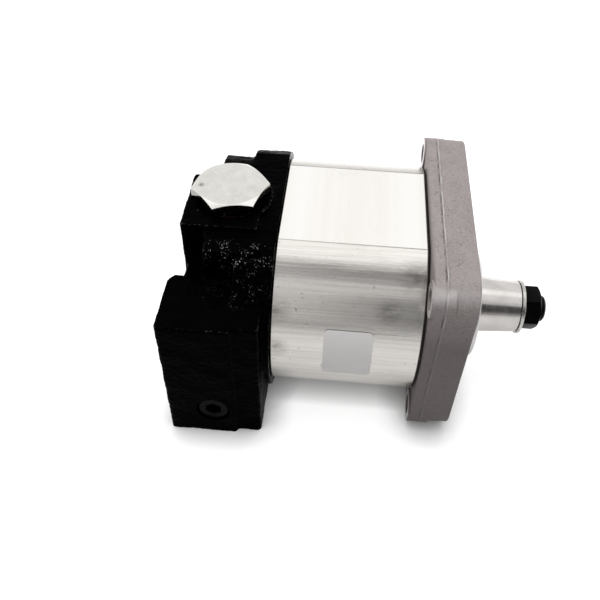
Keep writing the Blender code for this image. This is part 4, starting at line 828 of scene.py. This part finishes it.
def rear_cover():
    """The rough black rear cover: one casting of plate, valve block, shoulder, port block and boss."""
    front, plate_rear = PLATE_FRONT, PLATE_REAR
    block_rear = plate_rear - BLOCK_LENGTH
    boss_rear = plate_rear - SUCTION_BOSS_LENGTH
    port_rear = COVER_LOW.x
    valve = ((PLUG_LOW.x + PLUG_HIGH.x) / 2, (PLUG_LOW.y + PLUG_HIGH.y) / 2)
    inside = front - PLATE_THICKNESS / 2
    past = front + 0.0015
    plate_radius = BODY_RADIUS + PLATE_OVERHANG
    plate_half = BODY_HIGH.z + PLATE_FLAT_OVERHANG
    relief = port_block_plan(port_rear, plate_rear, front)
    shapes = [
        loft([(past, stadium(plate_radius, plate_half)), (plate_rear, stadium(plate_radius, plate_half))]),
        prism(rectangle(block_rear, inside, BLOCK_NEAR, BLOCK_FAR), BLOCK_BOTTOM, BLOCK_TOP, "Z"),
        prism(circle(valve, VALVE_BOSS_RADIUS, 72), 0, BLOCK_TOP, "Z"),
        prism(rectangle(plate_rear - 0.0132, inside, -0.0220, -0.0050), BLOCK_BOTTOM, 0.0420, "Z"),
        prism(rectangle(block_rear + CAST_EDGE, inside, -0.0270, -0.0050), -0.0399, 0.0236, "Z"),
        prism(relief, FLANGE_LOW.z - PAST, PORT_BLOCK_TOP, "Z"),
        prism(circle(SUCTION_SPOT, SUCTION_BOSS_RADIUS, 72), boss_rear - 0.0005, inside),
    ]
    cover = new_object("cover", gathered(shapes))
    remesh = cover.modifiers.new("voxels", "REMESH")
    remesh.mode = "VOXEL"
    remesh.voxel_size = VOXEL
    round_off = cover.modifiers.new("round", "SMOOTH")
    round_off.iterations = 5
    round_off.factor = 0.5
    settle(cover)
    roughen(cover, 0.00022, 0.00035, 0.0016, 0.008)
    wide = 0.2
    slab_front = prism(rectangle(-wide, wide, -wide, wide), front, front + 0.02)
    slab_under = prism(rectangle(-wide, 0, -wide, wide), FLANGE_LOW.z - 0.02, FLANGE_LOW.z, "Z")
    slab_ports = prism(rectangle(-wide, wide, -wide, wide), port_rear - 0.02, port_rear + 0.0002)
    facing = SUCTION_BOSS_RADIUS + 0.0015
    half = math.pi - math.acos((SUCTION_SPOT[0] - BLOCK_FAR - 0.0006) / facing)
    boss_face = prism(arc(SUCTION_SPOT, facing, -half, half, 60), plate_rear - 0.03, boss_rear)
    chamber, shelf = -0.004, 0.0283
    valve_bore = turned([
        (-0.036, VALVE_SEAT_RADIUS), (chamber, VALVE_SEAT_RADIUS), (chamber, VALVE_RADIUS),
        (shelf, VALVE_RADIUS), (shelf, PLUG_THREAD_RADIUS), (SPOTFACE_Z, PLUG_THREAD_RADIUS),
        (SPOTFACE_Z, SPOTFACE_RADIUS), (BLOCK_TOP + 0.003, SPOTFACE_RADIUS),
    ], 72, "Z", valve)
    mouth = SUCTION_RADIUS + 0.0013
    suction = turned([
        (boss_rear - PAST, mouth), (boss_rear, mouth), (plate_rear - 0.0125, SUCTION_RADIUS),
        (plate_rear + 0.0013, SUCTION_RADIUS),
    ], 56, centre=SUCTION_SPOT)
    port_floor = port_rear + 0.012
    pressure = turned([
        (port_rear - PAST, 0.0112), (port_rear + PAST, PRESSURE_RADIUS), (port_floor, PRESSURE_RADIUS),
        (port_floor, DRILLING_RADIUS), (valve[0], DRILLING_RADIUS),
    ], 48, centre=PRESSURE_SPOT)
    side_floor = -0.0425
    side = turned([
        (-0.06, 0.0082), (-0.0512, SIDE_RADIUS), (side_floor, SIDE_RADIUS),
        (side_floor, DRILLING_RADIUS), (-0.02, DRILLING_RADIUS),
    ], 48, "Y", (-0.0300, valve[0] - 0.0024))
    holes = bolt_holes(front - 0.013, front + 0.03)
    dowels = dowel_holes(front - DOWEL_DEPTH, front + 0.03)
    faces = [slab_front, slab_under, slab_ports, boss_face]
    cuts = [*faces, valve_bore, suction, pressure, side, holes, dowels]
    combine(cover, cuts, solver="MANIFOLD")
    nodes, slot = ["rear_cover"], "cover_paint"
    return finish_piece(cover, "rear_cover_casting", "housing", nodes, BLACK_PAINT, 38)


def port_block_plan(rear, plate_rear, front):
    """The port block seen from above, as (x, y), stepped in beside the plate."""
    near, far = PORT_BLOCK_NEAR, PORT_BLOCK_FAR
    step = plate_rear + 0.0013
    return rounded([
        (rear, near, CAST_EDGE), (step, near, 0.0008), (step + 0.001, near + 0.002, 0.0008),
        (front - 0.0035, near + 0.002, CAST_EDGE), (front - 0.0035, far, 0), (rear, far, 0.005),
    ])


def hexagon_head(centre, across, low, high, turn, axis):
    """A hexagon whose ends are chamfered by a cone."""
    outline = arc(centre, across / math.sqrt(3), turn, turn + math.tau, 6)[:-1]
    head = new_object("head", prism(outline, low, high, axis))
    corner = across / math.sqrt(3) + 0.0003
    flat = across / 2 * 0.97
    drop = (corner - flat) * math.tan(math.radians(30))
    profile = [(low, flat), (low + drop, corner), (high - drop, corner), (high, flat)]
    envelope = turned(profile, 144, axis, centre)
    return combine(head, [envelope], "INTERSECT")


def bevel_edges(piece, width, segments=2, degrees=25):
    """Round a piece's edges a little."""
    step = piece.modifiers.new("edges", "BEVEL")
    step.width = width
    step.segments = segments
    step.limit_method = "ANGLE"
    step.angle_limit = math.radians(degrees)
    settle(piece)


def valve_plug():
    """The zinc hexagon plug over the valve."""
    centre = ((PLUG_LOW.x + PLUG_HIGH.x) / 2, (PLUG_LOW.y + PLUG_HIGH.y) / 2)
    plug = hexagon_head(centre, PLUG_ACROSS, PLUG_SEAT, PLUG_HIGH.z, PLUG_TURN, "Z")
    bevel_edges(plug, 0.00009)
    thread = PLUG_THREAD_RADIUS - FIT
    stub = turned([
        (PLUG_LOW.z, thread - PAST), (PLUG_LOW.z + PAST, thread), (PLUG_SEAT + PAST, thread),
    ], 56, "Z", centre)
    combine(plug, [stub], "UNION")
    pocket = prism(circle(centre, 0.0072, 40), PLUG_LOW.z - PAST, PLUG_HIGH.z - 0.004, "Z")
    combine(plug, [pocket])
    plug.data.materials.clear()
    plug.data.materials.append(ZINC)
    # The hexagon sides take a darker copy of the zinc, painted shade.
    plug.data.materials.append(ZINC_SIDE_PAINTED_SHADE)
    for face in plug.data.polygons:
        face.material_index = 1 if abs(face.normal.z) < 0.2 else 0
    return finish_piece(plug, "valve_plug_hex", "housing", ["valve_plug"], ZINC, 12)


def shaft_nut():
    """The blackened nut on the shaft end."""
    nut = hexagon_head((0, 0), NUT_ACROSS, NUT_LOW.x, NUT_HIGH.x, NUT_TURN, "X")
    bevel_edges(nut, 0.00015)
    bore = turned([
        (NUT_LOW.x - PAST, 0.0072), (NUT_LOW.x + 0.0007, 0.0063), (NUT_HIGH.x - 0.0007, 0.0063),
        (NUT_HIGH.x + PAST, 0.0078),
    ], 48)
    combine(nut, [bore])
    return finish_piece(nut, "shaft_nut_hex", "drive_shaft", ["shaft_nut"], BLACK_STEEL, 24)


def helix(radius, low, high, pitch, height, axis, centre, inward=False):
    """A thread ridge: a triangular section wound round an axis."""
    steps = 36
    count = max(2, round((high - low) / pitch * steps))
    bm = bmesh.new()
    rings = []
    for i in range(count + 1):
        share = i / count
        along = low + (high - low) * share
        fade = min(1.0, share * count / 14, (1 - share) * count / 14)
        crest = height * max(0.02, fade)
        turn = math.tau * (high - low) / pitch * share
        tip = radius - crest if inward else radius + crest
        root = radius + 0.0001 if inward else radius - 0.0001
        ring = []
        for offset, reach in ((-0.42, root), (-0.07, tip), (0.07, tip), (0.42, root)):
            u = centre[0] + reach * math.cos(turn)
            v = centre[1] + reach * math.sin(turn)
            ring.append(bm.verts.new(place(axis, along + offset * pitch, u, v)))
        rings.append(ring)
    for first, second in zip(rings, rings[1:]):
        for i in range(4):
            j = (i + 1) % 4
            bm.faces.new((first[i], first[j], second[j], second[i]))
    bm.faces.new(rings[0])
    bm.faces.new(rings[-1])
    bmesh.ops.recalc_face_normals(bm, faces=bm.faces)
    return bm


def threads():
    """Ridges of the threads that show: shaft end, suction port and pressure port."""
    low, high = NUT_HIGH.x - 0.004, SHAFT_HIGH.x - 0.0012
    shaft = new_object("thread", helix(THREAD_RADIUS, low, high, THREAD_PITCH, 0.0003, "X", (0, 0)))
    finish_piece(shaft, "shaft_thread", "drive_shaft", [], BLACK_STEEL)
    pitch = PORT_THREAD_PITCH
    low, high = PLATE_REAR - 0.0112, PLATE_REAR
    suction = new_object("thread", helix(SUCTION_RADIUS, low, high, pitch, 0.0008, "X", SUCTION_SPOT, True))
    finish_piece(suction, "suction_port_thread", "housing", [], DARK_THREAD)
    low, high = COVER_LOW.x + 0.0024, COVER_LOW.x + 0.0108
    ridge = helix(PRESSURE_RADIUS, low, high, pitch, 0.0007, "X", PRESSURE_SPOT, True)
    pressure = new_object("thread", ridge)
    finish_piece(pressure, "pressure_port_thread", "housing", [], DARK_THREAD)


def label():
    """A blank label with rounded corners, wrapped on the body's round side."""
    half_width = (LABEL_RIGHT - LABEL_LEFT) / 2
    length = (LABEL_BOTTOM - LABEL_TOP) * BODY_RADIUS
    outline = rectangle(-half_width, half_width, -length / 2, length / 2, LABEL_CORNER)
    bm = bmesh.new()
    face = bm.faces.new([bm.verts.new((u, v, 0)) for u, v in outline])
    rows = 20
    for k in range(1, rows):
        cut = (0, -length / 2 + length * k / rows, 0)
        whole = bm.verts[:] + bm.edges[:] + bm.faces[:]
        bmesh.ops.bisect_plane(bm, geom=whole, plane_co=cut, plane_no=(0, 1, 0))
    pulled = bmesh.ops.extrude_face_region(bm, geom=bm.faces[:])["geom"]
    upper = [item for item in pulled if isinstance(item, bmesh.types.BMVert)]
    bmesh.ops.translate(bm, verts=upper, vec=(0, 0, LABEL_THICKNESS))
    middle = (LABEL_TOP + LABEL_BOTTOM) / 2
    centre = (LABEL_LEFT + LABEL_RIGHT) / 2
    for vert in bm.verts:
        turn = middle - vert.co.y / BODY_RADIUS
        reach = BODY_RADIUS + 0.00002 + vert.co.z
        vert.co = (centre + vert.co.x, -reach * math.sin(turn), reach * math.cos(turn))
    bmesh.ops.recalc_face_normals(bm, faces=bm.faces)
    piece = new_object("label", bm)
    piece.data.materials.append(LABEL_STOCK)
    piece.data.materials.append(LABEL_EDGE_SHADOW)
    # The label's side faces take the painted edge shadow.
    for face in piece.data.polygons:
        outward = Vector((0, face.center.y, face.center.z)).normalized()
        face.material_index = 0 if abs(face.normal.dot(outward)) > 0.5 else 1
    return finish_piece(piece, "blank_label", "housing", [], LABEL_STOCK, 20)


def smooth_nodes():
    """A modifier's node group that welds a CAD node's facets and shades its round faces smooth."""
    group = bpy.data.node_groups.new("smooth_facets", "GeometryNodeTree")
    group.interface.new_socket("Geometry", in_out="INPUT", socket_type="NodeSocketGeometry")
    group.interface.new_socket("Geometry", in_out="OUTPUT", socket_type="NodeSocketGeometry")
    start = group.nodes.new("NodeGroupInput")
    end = group.nodes.new("NodeGroupOutput")
    weld = group.nodes.new("GeometryNodeMergeByDistance")
    weld.inputs["Distance"].default_value = 1e-6
    faces = group.nodes.new("GeometryNodeSetShadeSmooth")
    faces.domain = "FACE"
    edges = group.nodes.new("GeometryNodeSetShadeSmooth")
    edges.domain = "EDGE"
    angle = group.nodes.new("GeometryNodeInputMeshEdgeAngle")
    compare = group.nodes.new("FunctionNodeCompare")
    compare.operation = "LESS_THAN"
    compare.inputs[1].default_value = math.radians(32)
    links = group.links
    links.new(start.outputs[0], weld.inputs["Geometry"])
    links.new(weld.outputs[0], faces.inputs["Geometry"])
    links.new(faces.outputs[0], edges.inputs["Geometry"])
    links.new(angle.outputs[0], compare.inputs[0])
    links.new(compare.outputs[0], edges.inputs["Shade Smooth"])
    links.new(edges.outputs[0], end.inputs[0])
    return group


def dress_cad_nodes():
    """Give each CAD node that still shows its material and smooth round faces."""
    finishes = {
        "drive_gear_shaft": POLISHED, "driven_gear_shaft": POLISHED, "relief_poppet": POLISHED,
        "woodruff_key": GROUND, "shaft_washer": WASHER, "seal_retaining_ring": DARK_SPRING,
        "front_bearing_block": BLOCK, "rear_bearing_block": BLOCK, "valve_spring": DARK_SPRING,
        "plug_seal": COPPER, "side_plug_seal": COPPER, "side_plug": BLACK_STEEL,
    }
    by_kind = [("bush", BRONZE), ("dowel", GROUND), ("bolt", BLACK_STEEL), ("seal", RUBBER)]
    group = smooth_nodes()
    for name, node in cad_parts.items():
        if node.hide_render:
            continue
        finish = finishes.get(name)
        if finish is None:
            for part, choice in by_kind:
                if part in name:
                    finish = choice
        node.data.materials.clear()
        node.data.materials.append(finish)
        step = node.modifiers.new("smooth", "NODES")
        step.node_group = group


# Floor, light and camera


def stage_floor():
    """A white floor that glows for the camera and in reflections, dimmer on the near side in reflections as
    painted shade, and darkened near the object by ambient occlusion as a painted contact shadow.
    """
    bm = bmesh.new()
    bmesh.ops.create_grid(bm, x_segments=1, y_segments=1, size=4)
    floor = new_object("floor", bm)
    m = Nodes("floor_white", (FLOOR_TONE, FLOOR_TONE, FLOOR_TONE), 0.6, 0.0, 0.0)
    cloud = m.noise(3, 2)
    m.link(m.mix(cloud, (FLOOR_TONE * 0.995,) * 3, (FLOOR_TONE * 1.005,) * 3), "Base Color")
    m.shader.inputs["Emission Color"].default_value = (1, 1, 1, 1)
    opened = m.tree.nodes.new("ShaderNodeAmbientOcclusion")
    opened.samples = 8
    opened.inputs["Distance"].default_value = SHADOW_REACH
    direct = m.add("ShaderNodeLightPath").outputs["Is Camera Ray"]
    across = m.add("ShaderNodeSeparateXYZ", Vector=m.add("ShaderNodeNewGeometry").outputs["Position"])
    reflected = m.ramp(across.outputs["Y"], FAR_FLOOR, FAR_FLOOR + 0.15, FLOOR_GLOW[0], 1.0)
    level = m.math("MAXIMUM", reflected, m.math("MULTIPLY", direct, FLOOR_GLOW[1]))
    # Painted contact shadow: the glow darkened by ambient occlusion near the object.
    glow = m.math("MULTIPLY", m.math("POWER", opened.outputs["AO"], 1.6), level)
    m.link(m.math("MULTIPLY", seen_rays(m.tree), glow), "Emission Strength")
    floor.data.materials.append(m.material)


def world_light():
    """A white room: plain for what the camera and reflections see, and soft light on the rest."""
    world = bpy.data.worlds.new("room")
    bpy.context.scene.world = world
    world.use_nodes = True
    tree = world.node_tree
    background = tree.nodes["Background"]
    background.inputs["Color"].default_value = (1, 1, 1, 1)
    strength = tree.nodes.new("ShaderNodeMapRange")
    strength.inputs["To Min"].default_value = ROOM_LIGHT
    strength.inputs["To Max"].default_value = 1.0
    tree.links.new(seen_rays(tree), strength.inputs["Value"])
    tree.links.new(strength.outputs[0], background.inputs["Strength"])


def lamp(name, place_at, aim, size, power):
    """A square soft box that points at aim."""
    data = bpy.data.lights.new(name, "AREA")
    data.size = size
    data.energy = power
    light = bpy.data.objects.new(name, data)
    bpy.context.scene.collection.objects.link(light)
    light.visible_glossy = False
    light.location = place_at
    light.rotation_euler = (Vector(aim) - Vector(place_at)).to_track_quat("-Z", "Y").to_euler()


def card(name, place_at, aim, width, height, left, right):
    """A studio card that reflections see and the camera doesn't; left and right are each (x, grey)."""
    bm = bmesh.new()
    bmesh.ops.create_grid(bm, x_segments=1, y_segments=1, size=0.5)
    piece = new_object(name, bm)
    piece.location = place_at
    piece.rotation_euler = (Vector(aim) - Vector(place_at)).to_track_quat("Z", "Y").to_euler()
    piece.scale = (width, height, 1)
    m = Nodes(name + "_grey", (0, 0, 0), 0.9, 0.0, 0.0)
    m.shader.inputs["Emission Color"].default_value = (1, 1, 1, 1)
    across = m.add("ShaderNodeSeparateXYZ", Vector=m.add("ShaderNodeNewGeometry").outputs["Position"])
    m.link(m.ramp(across.outputs["X"], left[0], right[0], left[1], right[1]), "Emission Strength")
    piece.data.materials.append(m.material)
    piece.visible_camera = False
    piece.visible_diffuse = False
    piece.visible_shadow = False


def elevated_card(name, elevation, spread, reach, left, right, far=1.05):
    """A card on the near side, centred on an elevation and covering a spread of it, both in degrees."""
    rise = math.radians(elevation)
    aim = Vector(((reach[0] + reach[1]) / 2, 0, 0.07))
    place_at = aim + far * Vector((0, -math.cos(rise), math.sin(rise)))
    height = 2 * far * math.tan(math.radians(spread / 2))
    card(name, place_at, aim, reach[1] - reach[0], height, left, right)


def camera():
    """The camera, above the near side and looking down past the shaft end."""
    data = bpy.data.cameras.new("camera")
    data.lens = CAMERA_LENS
    data.sensor_width = 36
    data.clip_start = 0.01
    piece = bpy.data.objects.new("camera", data)
    bpy.context.scene.collection.objects.link(piece)
    piece.location = CAMERA_PLACE
    piece.rotation_euler = CAMERA_TURN
    bpy.context.scene.camera = piece
    bpy.context.scene.view_settings.view_transform = "Standard"


CAST_GREY = cast_grey()
MACHINED_GREY = machined_grey()
EXTRUDED = extruded_aluminium()
MILLED = milled_aluminium()
BLACK_PAINT = black_paint()
POLISHED = polished_steel()
ZINC = zinc_plate()
# Painted shade: a darker copy of the zinc for the plug's hexagon sides.
ZINC_SIDE_PAINTED_SHADE = plain_metal("zinc_side_painted_shade", (0.42, 0.42, 0.40), 0.10, 0.03)
JOINT_DARK = plain_metal("joint_shadow", (0.035, 0.033, 0.032), 0.6)
BLACK_STEEL = black_steel()
DARK_THREAD = plain_metal("dark_thread", (0.05, 0.05, 0.05), 0.4)
GROUND = plain_metal("ground_steel", (0.60, 0.59, 0.58), 0.22)
WASHER = plain_metal("washer_steel", (0.58, 0.57, 0.55), 0.26)
DARK_SPRING = plain_metal("spring_steel", (0.16, 0.16, 0.17), 0.32)
BLOCK = plain_metal("block_aluminium", (0.68, 0.68, 0.67), 0.34)
BRONZE = plain_metal("bush_bronze", (0.52, 0.36, 0.18), 0.34)
COPPER = plain_metal("soft_copper", (0.55, 0.30, 0.20), 0.36)
RUBBER = rubber()
LABEL_STOCK = label_paper()
# Painted shadow: a dark colour for the label's cut edges.
LABEL_EDGE_SHADOW = plain_metal("label_edge_shadow", (0.10, 0.095, 0.09), 0.6)

camera()
front_cover()
pump_body()
rear_cover()
valve_plug()
shaft_nut()
threads()
label()
dress_cad_nodes()
stage_floor()
world_light()
lamp("top_box", (-0.24, 0.18, 1.10), (0, 0, 0.04), 0.85, 9.5)
elevated_card("top_strip", 100, 24, (-1.4, 1.4), (-0.5, 1.45), (0.5, 1.45))
elevated_card("high_strip", 68, 18, (-0.6, 0.22), (-0.12, 0.46), (0.10, 0.10))
elevated_card("gap_strip", 54, 9, (-1.2, 1.2), (-0.12, 0.95), (0.10, 0.70))
elevated_card("dark_wall", 27, 37, (-1.2, 1.2), (-0.12, 0.80), (0.24, 0.06))
elevated_card("grey_wall", 3, 10, (-1.4, 1.4), (-0.12, 0.46), (0.10, 0.36))

bpy.context.view_layer.update()
